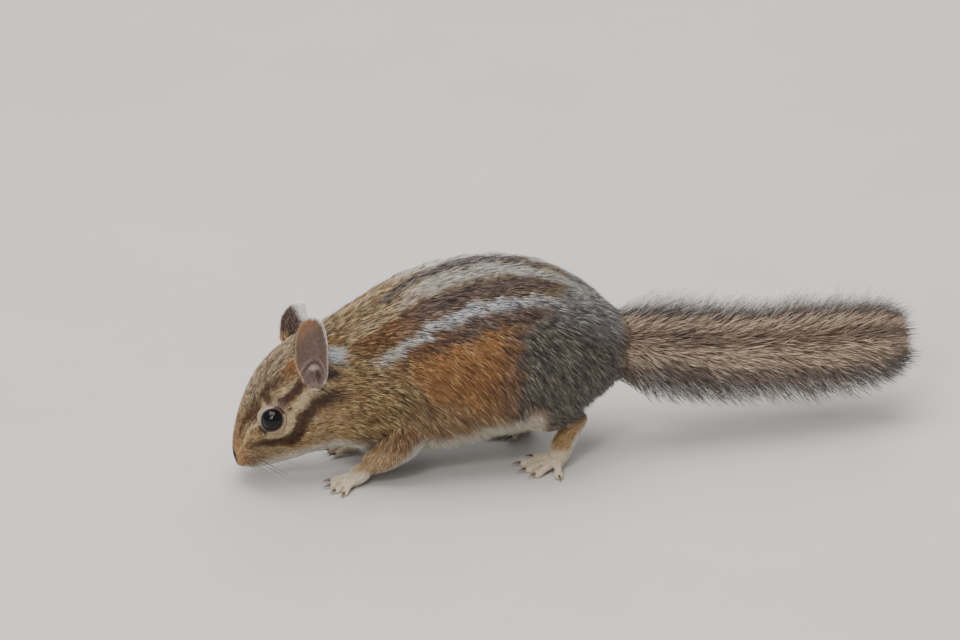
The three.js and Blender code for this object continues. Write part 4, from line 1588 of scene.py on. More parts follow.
@dataclass
class Skin:
    """One skin over head, trunk, legs, feet and tail, with the ears let into it."""

    plan: Plan
    trunk: Trunk
    legs: list[Leg]
    tail: TailForm
    ears: list[Ear]
    voxel: float = 0.36
    faces: int = 150000
    floor_clearance: float = 0.05
    evenings: int = 3
    combings: int = 30

    def fused(self) -> Object:
        """Melts the forms into one closed surface.

        Returns:
            The skin's object.
        """
        shells = [self.trunk.shell(), covered(self.tail.rings()), *(s for leg in self.legs for s in leg.shells())]
        made = self.plan.piece("skin", joined(shells))
        melt = made.modifiers.new("melt", "REMESH")
        melt.mode = "VOXEL"
        melt.voxel_size = self.voxel * MM
        melt.use_smooth_shade = True
        self.settle(made)
        # The trunk, legs and tail under the coat need fewer corners than face and feet
        points = self.plan.millimetres(read(made.data.vertices, "co"))
        coarse = (points[:, 0] > -50) & (points[:, 2] > 9.5)
        group = made.vertex_groups.new(name="coarse")
        group.add(np.nonzero(coarse)[0].tolist(), 1.0, "REPLACE")
        thin = made.modifiers.new("thin", "DECIMATE")
        thin.vertex_group = group.name
        thin.ratio = self.faces / (2 * len(made.data.polygons))
        self.settle(made)
        made.vertex_groups.clear()
        return made

    @staticmethod
    def settle(made: Object) -> None:
        """Puts an object's modifiers into its mesh.

        Args:
            made: The object.
        """
        old = made.data
        made.data = evaluated(made)
        bpy.data.meshes.remove(old)

    def read_guides(self, points: Array) -> tuple[Array, Array, Array, Array]:
        """Finds the form, place, turn and lie of the coat at points of the skin.

        Args:
            points: Corners of the skin.

        Returns:
            Form number, place, turn and lie for each point.
        """
        found = [self.trunk.guide(), self.tail.guide(), *(guide for leg in self.legs for guide in leg.guides())]
        form = np.concatenate([np.full(len(g.points), g.form) for g in found])
        place, turn, lie = (np.concatenate([getattr(g, k) for g in found]) for k in ("place", "turn", "lie"))
        index = nearest(np.vstack([g.points for g in found]), points)
        return form[index], place[index], turn[index], lie[index]

    def build(self) -> tuple[Object, Cover]:
        """Makes the skin with its folds.

        Returns:
            The skin's object, not yet painted, and what the coat needs to know about it.
        """
        made = self.fused()
        mesh = made.data
        edges = read(mesh.edges, "vertices", np.int32, 2)
        points = self.relaxed(self.plan.millimetres(read(mesh.vertices, "co")), edges, self.evenings)
        form, place, turn, lie = self.read_guides(points)
        points = self.rounded(points, edges, form)
        points, bare, short = Face(self.trunk).press(points, read(mesh.vertex_normals, "vector"))
        for _ in range(self.combings):
            lie = unit(lie + beside(lie, edges))
        for ear in self.ears:
            reach, height, away, flat = ear.seen(points)
            under = (1 - ease(0.88, 1.06, reach)) * flat * (height > -1.4)
            points -= ear.directions()[3] * (np.maximum(height + 0.55, 0) * under)[:, None]
            bare = np.maximum(bare, under)
            lie = unit(lie + away * (1.3 * (1 - ease(1.0, 1.7, reach)) * flat)[:, None])
        for side in SIDES.values():
            reach, heading, past, _ = EYE.seen(points, side)
            out = EYE.directions(side)[3]
            away = unit(heading - out * (heading @ out)[:, None])
            near = (reach < EYE.radius + EYE.around) * (1 - ease(26, 62, past))
            lie = unit(lie + away * (2.2 * near)[:, None])
        points[:, 2] = np.maximum(points[:, 2], self.floor_clearance)
        mesh.vertices.foreach_set("co", self.plan.metres(points).astype(np.float32).ravel())
        mesh.update()
        mesh.calc_loop_triangles()
        triangles = read(mesh.loop_triangles, "vertices", np.int32)
        return made, Cover(points, read(mesh.vertex_normals, "vector"), triangles, form, place, turn, lie, bare, short)

    @staticmethod
    def rounded(points: Array, edges: Array, form: Array) -> Array:
        """Rounds the creases where one form meets another.

        Args:
            points: Corners of the skin.
            edges: Pairs of corners.
            form: Form number of each corner.

        Returns:
            The moved corners.
        """
        weight = np.zeros(len(points))
        weight[edges[form[edges[:, 0]] != form[edges[:, 1]]].ravel()] = 1
        for _ in range(5):
            spread = weight.copy()
            np.maximum.at(spread, edges[:, 0], 0.82 * weight[edges[:, 1]])
            np.maximum.at(spread, edges[:, 1], 0.82 * weight[edges[:, 0]])
            weight = spread
        count = np.bincount(edges.ravel(), minlength=len(points))[:, None]
        for _ in range(10):
            points = points + 0.6 * weight[:, None] * (beside(points, edges) / count - points)
        return points

    @staticmethod
    def relaxed(points: Array, edges: Array, times: int) -> Array:
        """Evens the steps that melting leaves, without shrinking thin forms much.

        Args:
            points: Corners of the skin.
            edges: Pairs of corners.
            times: How often it is done.

        Returns:
            The moved corners.
        """
        count = np.bincount(edges.ravel(), minlength=len(points))[:, None]
        for _ in range(times):
            for weight in (0.5, -0.52):
                points = points + weight * (beside(points, edges) / count - points)
        return points


# Coat


def leaders(points: Array, each: int, draw: Draw) -> Array:
    """Picks for each tuft the one that leads its lock, one tuft out of each so many."""
    some = draw.choice(len(points), len(points) // each, replace=False)
    return some[nearest(points[some], points)]


def gathered(tips: Array, leads: Array, most: float, pull: Array) -> Array:
    """Draws tips towards those that lead their locks by a share of the way, which is at most so long.

    Args:
        tips: The tips.
        leads: Which tuft leads each one's lock.
        most: Longest move for a share of 1.
        pull: Shares.

    Returns:
        The moved tips.
    """
    toward = tips[leads] - tips
    away = np.linalg.norm(toward, axis=1, keepdims=True)
    return tips + toward * np.minimum(1, most / np.maximum(away, 1e-6)) * pull[:, None]


# How much of a tuft's length lies before its ring, and how much behind it
BEFORE_RING, BEHIND_RING = 0.42, 0.58


def bowed(start: Array, rise: Array, run: Array, length: Array) -> tuple[Array, Array]:
    """Gives the middles and tips of tufts that rise at first and then run flatter."""
    middle = start + rise * (BEFORE_RING * length)[:, None]
    return middle, middle + run * (BEHIND_RING * length)[:, None]


def rung(middle: Array, side: Array, up: Array, width: Array) -> Array:
    """Gives the three corners of a tuft's cross section."""
    half = (width / 2)[:, None]
    return np.stack([middle - side * half, middle + side * half, middle + up * half * 0.9], 1)


@dataclass
class Roots:
    """Places where tufts grow."""

    points: Array
    normals: Array
    lie: Array
    form: Array
    place: Array
    turn: Array
    depth: Array
    short: Array

    def charted(self) -> Array:
        """Returns the roots' places on the flat chart.

        Returns:
            One place on the chart for each root.
        """
        chart = np.zeros((len(self.points), 2))
        for form in np.unique(self.form):
            here = self.form == form
            share = self.place[here] / LAST_STATION if form == Form.TRUNK else self.place[here]
            chart[here] = chart_of(int(form), share, self.turn[here])
        return chart


@dataclass
class Tufts:
    """Tufts as arrays: a root, rings of three corners and a tip, with a colour for each of them."""

    rings: list[Array]
    colours: list[Array]
    chart: Array

    PATCH = 0.003

    def only(self, keep: Array) -> "Tufts":
        """Returns some of the tufts."""
        return Tufts([r[keep] for r in self.rings], [c[keep] for c in self.colours], self.chart[keep])

    def faces(self) -> Array:
        """Gives one tuft's triangles.

        Returns:
            Three corners for each triangle.
        """
        made = [(0, 1 + (j + 1) % 3, 1 + j) for j in range(3)]
        last = 3 * (len(self.rings) - 3) + 1
        for a in range(1, last, 3):
            for j in range(3):
                k = (j + 1) % 3
                made += [(a + j, a + k, a + 3 + k), (a + j, a + 3 + k, a + 3 + j)]
        made += [(last + j, last + (j + 1) % 3, last + 3) for j in range(3)]
        return np.array(made)

    def piece(self, name: str, plan: Plan) -> Object:
        """Makes one mesh object of the tufts, painted and charted.

        Args:
            name: Name of the piece.
            plan: The plan that places it.

        Returns:
            The new object.
        """
        count = len(self.chart)
        spots = [r.reshape(count, -1, 3) for r in self.rings]
        points = np.concatenate(spots, axis=1)
        each = points.shape[1]
        colours = np.concatenate([np.repeat(c[:, None], s.shape[1], 1) for c, s in zip(self.colours, spots)], axis=1)
        corners = (np.arange(count)[:, None, None] * each + self.faces()).reshape(-1)
        faces = len(corners) // 3
        mesh = bpy.data.meshes.new(name)
        mesh.vertices.add(count * each)
        mesh.vertices.foreach_set("co", plan.metres(points.reshape(-1, 3)).astype(np.float32).ravel())
        mesh.loops.add(len(corners))
        mesh.loops.foreach_set("vertex_index", corners.astype(np.int32))
        mesh.polygons.add(faces)
        mesh.polygons.foreach_set("loop_start", np.arange(faces, dtype=np.int32) * 3)
        mesh.polygons.foreach_set("use_smooth", np.ones(faces, bool))
        mesh.update(calc_edges=True)
        paint(mesh, colours.reshape(-1, 3))
        turn = np.arange(each) * 2.4
        reach = self.PATCH / 2 * np.append(np.linspace(1, 0.5, each - 1), 0.0)
        patch = np.stack([np.cos(turn), np.sin(turn)], 1) * reach[:, None]
        flat = (self.chart[:, None] + patch[None]).reshape(-1, 2)[corners]
        mesh.uv_layers.new(name="OFBake").data.foreach_set("uv", flat.astype(np.float32).ravel())
        return placed(name, mesh)


@dataclass
class Coat:
    """The short coat over skin, built as many small tufts that follow its lie."""

    cover: Cover
    markings: Markings
    trunk: Trunk
    seed: int = 41
    on_body: float = 7.2
    on_face: float = 17.0
    on_feet: float = 13.0
    under_brush: float = 3.0
    lock: int = 4

    # Pieces of the trunk's coat, each with the place where it ends
    PARTS = {"head": 7.55, "neck": 9.4, "shoulder": 11.0, "ribs": 12.4, "hips": 13.7, "rump": math.inf}

    def thickness(self, form: Array, place: Array) -> Array:
        """Gives how many tufts grow on a square millimetre.

        Args:
            form: Form numbers.
            place: Places along the forms.

        Returns:
            One number for each place.
        """
        face = 1 - ease(6.8, 8.6, place)
        many = np.where(form == Form.TRUNK, self.on_body + (self.on_face - self.on_body) * face, self.on_body)
        return np.where(form == Form.TAIL, self.under_brush, np.where(np.isin(form, FEET), self.on_feet, many))

    def roots(self) -> Roots:
        """Draws the places of the roots evenly over the skin, leaving bare skin free.

        Returns:
            The roots.
        """
        draw = np.random.default_rng(self.seed)
        c = self.cover
        a, b, d = (c.points[c.triangles[:, k]] for k in range(3))
        first = c.triangles[:, 0]
        many = np.linalg.norm(np.cross(b - a, d - a), axis=1) / 2 * self.thickness(c.form[first], c.place[first])
        many = many * (c.bare[c.triangles].mean(1) < 0.4)
        count = np.floor(many + draw.random(len(many))).astype(int)
        face = np.repeat(np.arange(len(count)), count)
        u, v = draw.random(len(face)), draw.random(len(face))
        beyond = u + v > 1
        u, v = np.where(beyond, 1 - u, u), np.where(beyond, 1 - v, v)
        share = np.stack([1 - u - v, u, v], 1)[:, :, None]
        corners = c.triangles[face]

        def between(values: Array) -> Array:
            """Blends the corners' values at each root."""
            return (values[corners] * share).sum(1)

        pick = corners[np.arange(len(face)), np.argmax(share[:, :, 0], axis=1)]
        smooth = (np.ptp(c.turn[corners], axis=1) < 1.0) & (np.ptp(c.form[corners], axis=1) == 0)
        place, turn = (np.where(smooth, between(v[:, None])[:, 0], v[pick]) for v in (c.place, c.turn))
        normals = unit(between(c.normals))
        lie = between(c.lie)
        lie = unit(lie - normals * (lie * normals).sum(1, keepdims=True))
        form = c.form[pick]
        depth = np.where(form == Form.TRUNK, np.minimum(self.trunk.coat_depth(place, turn), 2.7), 2.0)
        depth = np.where(np.isin(form, LEGS), 1.9 - 1.3 * place, depth)
        depth = np.where(np.isin(form, FEET), 0.55 - 0.25 * place, depth)
        short = between(c.short[:, None])[:, 0]
        return Roots(between(c.points), normals, lie, form, place, turn, np.maximum(depth, 0.12), short)

    def grow(self, roots: Roots) -> Tufts:
        """Grows one tuft from each root.

        Args:
            roots: Where the tufts grow.

        Returns:
            The tufts, bent back along the lie of the coat.
        """
        draw = np.random.default_rng(self.seed + 1)
        n, depth = len(roots.points), roots.depth
        turn = np.degrees(np.abs(roots.turn))
        # Longer hairs that hang from throat, chest and belly
        fringe = (roots.form == Form.TRUNK) * ease(104, 116, turn) * (1 - ease(146, 160, turn))
        fringe = fringe * ease(6.5, 8, roots.place) * (1 - ease(13.2, 14.2, roots.place))
        side = np.cross(roots.normals, roots.lie)
        yaw = 0.09 * Drift(3, 5).at(roots.points) + 0.12 * Drift(4, 1.5).at(roots.points) + draw.normal(0, 0.09, n)
        lie = roots.lie * np.cos(yaw)[:, None] + side * np.sin(yaw)[:, None]
        side = np.cross(roots.normals, lie)
        length = (depth * (1.6 + 0.55 * draw.random(n)) + 0.35) * (0.92 + 0.12 * Drift(6, 6).at(roots.points))
        length = length * roots.short * (1 + 0.35 * fringe)
        lift = 0.36 + 0.08 * Drift(5, 4).at(roots.points) + draw.normal(0, 0.08, n) + 0.15 * fringe
        width = np.clip(0.08 + 0.05 * depth, 0.09, 0.21) * (0.75 + 0.5 * draw.random(n))
        start = roots.points - roots.normals * (0.10 + 0.05 * depth)[:, None]
        rise, run = (
            lie * np.cos(angle)[:, None] + roots.normals * np.sin(angle)[:, None]
            for angle in (lift + 0.26, np.maximum(lift - 0.20, 0.02))
        )
        middle, tip = bowed(start, rise, run, length)
        leads = leaders(roots.points, self.lock, draw)
        tip = gathered(tip, leads, 1.0, np.clip(0.24 * depth / 1.5, 0.08, 0.30) * draw.uniform(0.4, 1.2, n))
        for spot, lowest in ((tip, 0.06), (middle, 0.08), (start, 0.03)):
            spot[:, 2] = np.maximum(spot[:, 2], lowest)
        ring = rung(middle, side, roots.normals, width)
        ring[..., 2] = np.maximum(ring[..., 2], 0.03)
        colours = self.colours(roots, lie * (0.5 * length)[:, None], leads, draw)
        return Tufts([start, ring, tip], colours, roots.charted())

    def colours(self, roots: Roots, move: Array, leads: Array, draw: Draw) -> list[Array]:
        """Picks each tuft's colours from the hairs that grow where it shows, often the same within a lock.

        Args:
            roots: Where the tufts grow.
            move: The way from each root to where its tuft shows.
            leads: The tuft that leads each one's lock.
            draw: Source of random numbers.

        Returns:
            Colours of roots, middles and tips.
        """
        place, turn = self.trunk.carried(roots.place, roots.turn, move)
        on_trunk = roots.form == Form.TRUNK
        place, turn = np.where(on_trunk, place, roots.place), np.where(on_trunk, turn, roots.turn)
        hair = self.markings.at(roots.form, place, turn, roots.points + move, roots.normals)
        n = len(hair)
        pick = draw.random(n)
        pick = np.where(draw.random(n) < 0.42, pick[leads], pick)
        tone = picked(hair, pick) * draw.uniform(0.88, 1.14, (n, 1))
        root = hair[:, 0:3] * draw.uniform(0.85, 1.05, (n, 1))
        return [root, root * 0.3 + tone * 0.7, tone * draw.uniform(1.04, 1.22, (n, 1))]

    def pieces(self, plan: Plan) -> list[Object]:
        """Makes the coat in pieces that each stay small enough to keep every tuft.

        Args:
            plan: The plan that places them.

        Returns:
            The pieces.
        """
        roots = self.roots()
        log.info("coat: %d tufts", len(roots.points))
        tufts = self.grow(roots)
        names = [*self.PARTS, "legs", "feet"]
        part = np.searchsorted(list(self.PARTS.values()), roots.place, side="right")
        for forms, name in (([Form.TAIL], "rump"), (LEGS, "legs"), (FEET, "feet")):
            part = np.where(np.isin(roots.form, forms), names.index(name), part)
        right = np.where(part < len(self.PARTS), roots.turn >= 0, roots.points[:, 1] > 0)
        made = []
        for i, name in enumerate(names):
            for word, side in SIDES.items():
                keep = (part == i) & (right == (side == RIGHT))
                if keep.any():
                    made.append(tufts.only(keep).piece(f"coat_{name}_{word}", plan))
        return made


# Tail


@dataclass
class TailBrush:
    """The hair of the tail: a dense short coat and longer guard hairs that stand out with frosted tips.

    The bands hold a hair's colour by its distance from the tail's middle line, as a share of the brush's half width.
    """

    form: TailForm
    seed: int = 77
    count: int = 26000
    guard_share: float = 0.6
    lock: int = 14
    back: tuple = (5.0, 10.5)
    bands: tuple = ((0.0, (126, 106, 90)), (0.12, (150, 127, 106)), (0.24, (200, 175, 150)), (0.40, (188, 166, 144)),
                    (0.50, (102, 90, 82)), (0.60, (92, 84, 80)), (0.72, (178, 170, 162)), (0.85, (220, 214, 208)),
                    (1.0, (232, 228, 224)))

    SHARES = (0.0, 0.36, 0.70, 1.0)
    MOST_FACES = 195000

    def tufts(self) -> Tufts:
        """Grows the brush.

        Returns:
            The tufts, from root over two rings to the tip.
        """
        draw = np.random.default_rng(self.seed)
        n = self.count
        # The first hairs start inside the rump and come out round the tail's root
        rank = -0.075 + 1.04 * draw.random(n) ** 0.96
        t = np.maximum(rank, 0)
        middle, ahead, wide, thin = self.form.directions(t)
        middle = middle + ahead * (80 * (rank - t))[:, None]
        even = draw.random(n) * TURN
        turn = np.arctan2(math.sqrt(self.form.thin) * np.sin(even), np.cos(even))
        out = wide * np.cos(turn)[:, None] + thin * np.sin(turn)[:, None]
        side = unit(np.cross(ahead, out))
        radius, edge = self.form.radius.at(t) * 0.85, self.form.brush.at(t)
        reach = 1 / np.hypot(np.cos(turn) / edge, np.sin(turn) / (edge * self.form.thin))
        guard = draw.random(n) < self.guard_share
        reach = reach * np.where(guard, 0.76 + 0.34 * draw.random(n), 0.42 + 0.36 * draw.random(n))
        reach = np.maximum(reach * (0.72 + 0.28 * ease(-0.075, 0.06, rank)), radius + 1.2)
        run = draw.uniform(*self.back, n) * np.where(guard, 1.0, 0.85) * (0.75 + 0.25 * ease(0, 0.16, t))
        run = run + 6 * draw.random(n) ** 1.5 * ease(0.8, 0.96, t)
        sway = draw.normal(0, 0.10, n) + 0.16 * Drift(8, 5).at(middle + out * 8)
        spots = []
        for share in self.SHARES:
            rise = radius + (reach - radius) * (1 - (1 - share) ** 1.5)
            spots.append(middle + out * rise[:, None] + ahead * (run * share**1.15)[:, None]
                         + side * (sway * run * share**1.4)[:, None])
        spots[3] = gathered(spots[3], leaders(spots[1], self.lock, draw), 2.6, draw.uniform(0.1, 0.55, n))
        rings = [spots[0]]
        for k, width in ((1, 0.34), (2, 0.26)):
            slope = np.arctan2((reach - radius) * (1 - self.SHARES[k]) ** 0.5, run)
            up = out * np.cos(slope)[:, None] - ahead * np.sin(slope)[:, None]
            rings.append(rung(spots[k], side, up, width * draw.uniform(0.7, 1.15, n)))
        chart = chart_of(Form.TAIL, t, turn)
        return Tufts([*rings, spots[3]], self.colours(spots, middle, wide, edge, guard, draw), chart)

    def colours(self, spots: list[Array], middle: Array, wide: Array, edge: Array, guard: Array,
                draw: Draw) -> list[Array]:
        """Gives the colours of each hair from root to tip.

        Args:
            spots: Points of the hairs from root to tip.
            middle: Point of the tail's middle line for each hair.
            wide: Direction across the brush.
            edge: Half width of the brush.
            guard: Whether each is a guard hair.
            draw: Source of random numbers.

        Returns:
            One colour for each point.
        """
        n = len(middle)
        stops = np.array([stop for stop, _ in self.bands])
        tones = np.array([shade(*tone) for _, tone in self.bands])
        shift, tint = draw.normal(0, 0.07, n), draw.uniform(0.80, 1.2, (n, 1))
        # The lower edge gets less frost and more dark tips: painted shade from the light above, over a real darker mix
        # of hairs
        shaded_low_edge = ((spots[3] - middle) * wide).sum(1) < 0
        made = []
        for share, spot in zip(self.SHARES, spots):
            across = np.where(shaded_low_edge, 0.82, 1.2) * np.abs(((spot - middle) * wide).sum(1)) / edge
            across = across + shift * (0.4 + share)
            made.append(np.stack([np.interp(across, stops, tones[:, k]) for k in range(3)], 1) * tint)
        pick = draw.random((n, 1))
        made[3] = np.where(~guard[:, None] & (pick < 0.45), shade(222, 200, 174) * tint, made[3])
        made[3] = np.where(pick > np.where(shaded_low_edge, 0.66, 0.76)[:, None], shade(94, 80, 70) * tint, made[3])
        made[0] = made[0] * 0.7
        duller = (0.82 + 0.18 * ease(52, 72, middle[:, 0]))[:, None]
        return [m * duller for m in made]

    def pieces(self, plan: Plan) -> list[Object]:
        """Makes the brush in pieces along its length.

        Args:
            plan: The plan that places them.

        Returns:
            The pieces.
        """
        tufts = self.tufts()
        parts = math.ceil(self.count / (self.MOST_FACES // len(tufts.faces())))
        order = np.array_split(np.argsort(tufts.chart[:, 0], kind="stable"), parts)
        return [tufts.only(some).piece(f"tail_brush_{k + 1}", plan) for k, some in enumerate(order)]


# Eyes


@dataclass
class Eye:
    """One eyeball with its clear swelling in front."""

    side: int
    word: str
    along: int = 44
    around: int = 64

    def ball(self, plan: Plan) -> Object:
        """Makes the eyeball.

        Args:
            plan: The plan that places it.

        Returns:
            The eyeball.
        """
        middle, forward, up, out = EYE.directions(self.side)
        turn = np.arange(self.around) / self.around * TURN
        polar, turn = np.meshgrid(np.linspace(0.02, math.pi - 0.02, self.along), turn, indexing="ij")
        front = np.cos(polar)[..., None] * out
        aside = np.sin(polar)[..., None] * (np.cos(turn)[..., None] * forward + np.sin(turn)[..., None] * up)
        swell = 1 + 0.035 * (1 - ease(0.2, 1.0, polar))
        shape = covered(middle + EYE.radius * 0.985 * swell[..., None] * (front + aside), flip=self.side == LEFT)
        made = plan.piece(f"eyeball_{self.word}", shape)
        away = np.arccos(np.clip(unit(shape.points - middle) @ out, -1, 1))[:, None]
        pupil, iris, white = np.array([0.004, 0.004, 0.005]), shade(34, 22, 16) * 0.6, shade(50, 42, 40)
        paint(made.data, np.where(away > 1.05, white, np.where(away < 0.62, pupil, iris)))
        return made


@dataclass
class Lids:
    """The lids of one eye: a bare edge against the ball, a fold behind it, and short hair that parts round them."""

    side: int
    around: int = 96
    steps: int = 26
    hairs: int = 3300
    seed: int = 61

    def at(self, past: Array, turn: Array, deeper: Array | float = 0.0) -> Array:
        """Gives points of the lids' outer side.

        Args:
            past: Degrees past the edge of the opening.
            turn: Turns round the eye.
            deeper: How far the points lie below the lids' outer side.

        Returns:
            The points.
        """
        middle, forward, up, out = EYE.directions(self.side)
        upper = 0.10 * np.clip(np.sin(turn), 0, 1)
        height = -0.32 + (0.80 + upper) * ease(-5, 6, past) - 0.14 * bell(past, 15, 2.4)
        height = height - 1.2 * ease(14, 30, past) - deeper
        angle = np.radians(EYE.opening(turn) + past)
        aside = np.cos(turn)[:, None] * forward + np.sin(turn)[:, None] * up
        return middle + (EYE.radius + height)[:, None] * (np.cos(angle)[:, None] * out + np.sin(angle)[:, None] * aside)

    def shape(self) -> tuple[Shape, Array]:
        """Builds the lids as one closed ring.

        Returns:
            The shape, and its colours.
        """
        past = np.append(np.linspace(-5, 36, self.steps), [26, 4])
        deeper = np.repeat(np.append(np.zeros(self.steps), [1.2, 1.3]), self.around)
        around = np.arange(self.around) / self.around * TURN
        past, turn = (a.ravel() for a in np.meshgrid(past, around, indexing="ij"))
        points = self.at(past, turn, deeper)
        hair = self.hair(points)
        # The lid's skin is paler grey on top and browner below, partly painted light from above
        skin = over(shade(112, 94, 78), shade(150, 146, 142), ease(-0.2, 0.5, np.sin(turn)))
        skin = over(skin, shade(84, 66, 60), ease(140, 155, np.degrees(np.abs(turn))))
        colours = over(hair[:, 0:3] * 0.3 + hair[:, 3:6] * 0.7, skin, ease(8, 3, past))
        colours = over(colours, shade(40, 32, 30), ease(3.5, 0, past))
        return covered(points.reshape(-1, self.around, 3), flip=self.side == RIGHT, closed=True), colours

    def hair(self, points: Array) -> Array:
        """Gives the hair numbers at places on the lids."""
        return blended(Hairs.CREAM, Markings.eye_ring(points, self.side))

    def tufts(self) -> Tufts:
        """Grows the short hair round the lids, pointing away from the eye.

        Returns:
            The tufts.
        """
        draw = np.random.default_rng(self.seed)
        n = self.hairs
        past, turn = 4 + 33 * draw.random(n), draw.uniform(-math.pi, math.pi, n)
        start = self.at(past, turn, 0.04)
        lie = unit(self.at(past + 1, turn) - start)
        side = unit(self.at(past, turn + 0.02) - start)
        up = unit(start - EYE.directions(self.side)[0])
        lie = unit(lie + side * draw.normal(0, 0.16, n)[:, None])
        length = (0.42 + 0.026 * past) * draw.uniform(0.8, 1.2, n)
        middle, tip = bowed(start, lie + up * 0.42, lie + up * 0.12, length)
        hair = self.hair(start)
        tone = picked(hair, draw.random(n)) * draw.uniform(0.85, 1.1, (n, 1))
        tone = tone * (0.7 + 0.3 * ease(5, 12, past))[:, None]
        place = 4.95 - 0.012 * past * np.cos(turn)
        chart = chart_of(Form.TRUNK, place / LAST_STATION, self.side * (1.17 - 0.012 * past * np.sin(turn)))
        ring = rung(middle, side, up, 0.115 * draw.uniform(0.8, 1.2, n))
        return Tufts([start, ring, tip], [hair[:, 0:3], tone * 0.9, tone * 1.08], chart)


# Claws and whiskers, grown along lines by Geometry Nodes


@dataclass
class Strand:
    """One strand: points of its line, the share of the full thickness at each, and the colour there."""

    line: Array
    taper: Array
    colours: Array


@dataclass
class Strands:
    """Tapering strands along lines, made by Geometry Nodes."""

    name: str
    thickness: float
    sides: int

    def tree(self) -> bpy.types.GeometryNodeTree:
        """Builds the node tree: lines become round strands that taper as the lines' own sizes say.

        Returns:
            The node tree.
        """
        tree = bpy.data.node_groups.new(self.name + "_strands", "GeometryNodeTree")
        kinds = {"Geometry": "Geometry", "Thickness": "Float", "Sides": "Int", "Finish": "Material"}
        face = {
            name: tree.interface.new_socket(name, in_out="INPUT", socket_type="NodeSocket" + kind)
            for name, kind in kinds.items()
        }
        tree.interface.new_socket("Geometry", in_out="OUTPUT", socket_type="NodeSocketGeometry")
        face["Thickness"].default_value = 0.001
        face["Sides"].default_value = 6
        self.keys = {name: socket.identifier for name, socket in face.items()}
        start, end = tree.nodes.new("NodeGroupInput"), tree.nodes.new("NodeGroupOutput")
        kinds = ("MeshToCurve", "InputNamedAttribute", "SetCurveRadius", "CurvePrimitiveCircle", "CurveToMesh",
                 "SetShadeSmooth", "RealizeInstances", "SetMaterial")
        lines, taper, radius, profile, solid, smooth, loose, finish = (
            tree.nodes.new("GeometryNode" + kind) for kind in kinds
        )
        taper.data_type = "FLOAT"
        taper.inputs["Name"].default_value = "taper"
        solid.inputs["Fill Caps"].default_value = True
        for source, output, target, into in (
            (start, "Geometry", lines, "Mesh"),
            (lines, "Curve", radius, "Curve"),
            (taper, "Attribute", radius, "Radius"),
            (radius, "Curve", solid, "Curve"),
            (start, "Thickness", profile, "Radius"),
            (start, "Sides", profile, "Resolution"),
            (profile, "Curve", solid, "Profile Curve"),
            (taper, "Attribute", solid, "Scale"),
            (solid, "Mesh", smooth, "Geometry"),
            (smooth, "Geometry", loose, "Geometry"),
            (loose, "Geometry", finish, "Geometry"),
            (start, "Finish", finish, "Material"),
            (finish, "Geometry", end, "Geometry"),
        ):
            tree.links.new(source.outputs[output], target.inputs[into])
        return tree

    def build(self, plan: Plan, strands: list[Strand], finish: bpy.types.Material) -> Object:
        """Makes the strands.

        Args:
            plan: The plan that places them.
            strands: The strands.
            finish: Material of the strands.

        Returns:
            The strands as one plain mesh object.
        """
        mesh = bpy.data.meshes.new(self.name)
        edges: list[tuple[int, int]] = []
        count = 0
        for strand in strands:
            edges += [(count + i, count + i + 1) for i in range(len(strand.line) - 1)]
            count += len(strand.line)
        mesh.from_pydata(plan.metres(np.vstack([s.line for s in strands])).tolist(), edges, [])
        layer = mesh.attributes.new("taper", "FLOAT", "POINT")
        layer.data.foreach_set("value", np.concatenate([s.taper for s in strands]).astype(np.float32))
        paint(mesh, np.vstack([s.colours for s in strands]))
        made = placed(self.name, mesh)
        grow = made.modifiers.new("grow", "NODES")
        grow.node_group = self.tree()
        grow[self.keys["Thickness"]] = self.thickness * MM
        grow[self.keys["Sides"]] = self.sides
        grow[self.keys["Finish"]] = finish
        made.data = evaluated(made)
        made.data.name = self.name
        bpy.data.meshes.remove(mesh)
        return made


@dataclass
class Claws:
    """The claws of all toes."""

    legs: list[Leg]
    thickness: float = 0.5
    sides: int = 10

    def build(self, plan: Plan, finish: bpy.types.Material) -> Object:
        """Makes the claws, dark at the root and paler at the tip.

        Args:
            plan: The plan that places them.
            finish: Their material.

        Returns:
            The claws as one mesh object.
        """
        made = []
        share = np.linspace(0, 1, 9)
        colours = over(shade(74, 56, 46), shade(128, 108, 88), share)
        for leg in self.legs:
            for toe in leg.plan.toes:
                bones, out, thick = leg.toe_bones(toe)
                start = bones[4] - out * 0.7 + np.array([0, 0, 0.25 * thick])
                line = start + out * (share * (leg.plan.claw + 0.5))[:, None]
                line[:, 2] += thick * (0.45 * np.sin(share * 2.2) - 0.85 * share**2)
                line[:, 2] = np.maximum(line[:, 2], 0.12 + 0.32 * (1 - share))
                made.append(Strand(line, np.maximum((1 - share**1.6) * 0.95, 0.06), colours))
        return Strands("claws", self.thickness, self.sides).build(plan, made, finish)


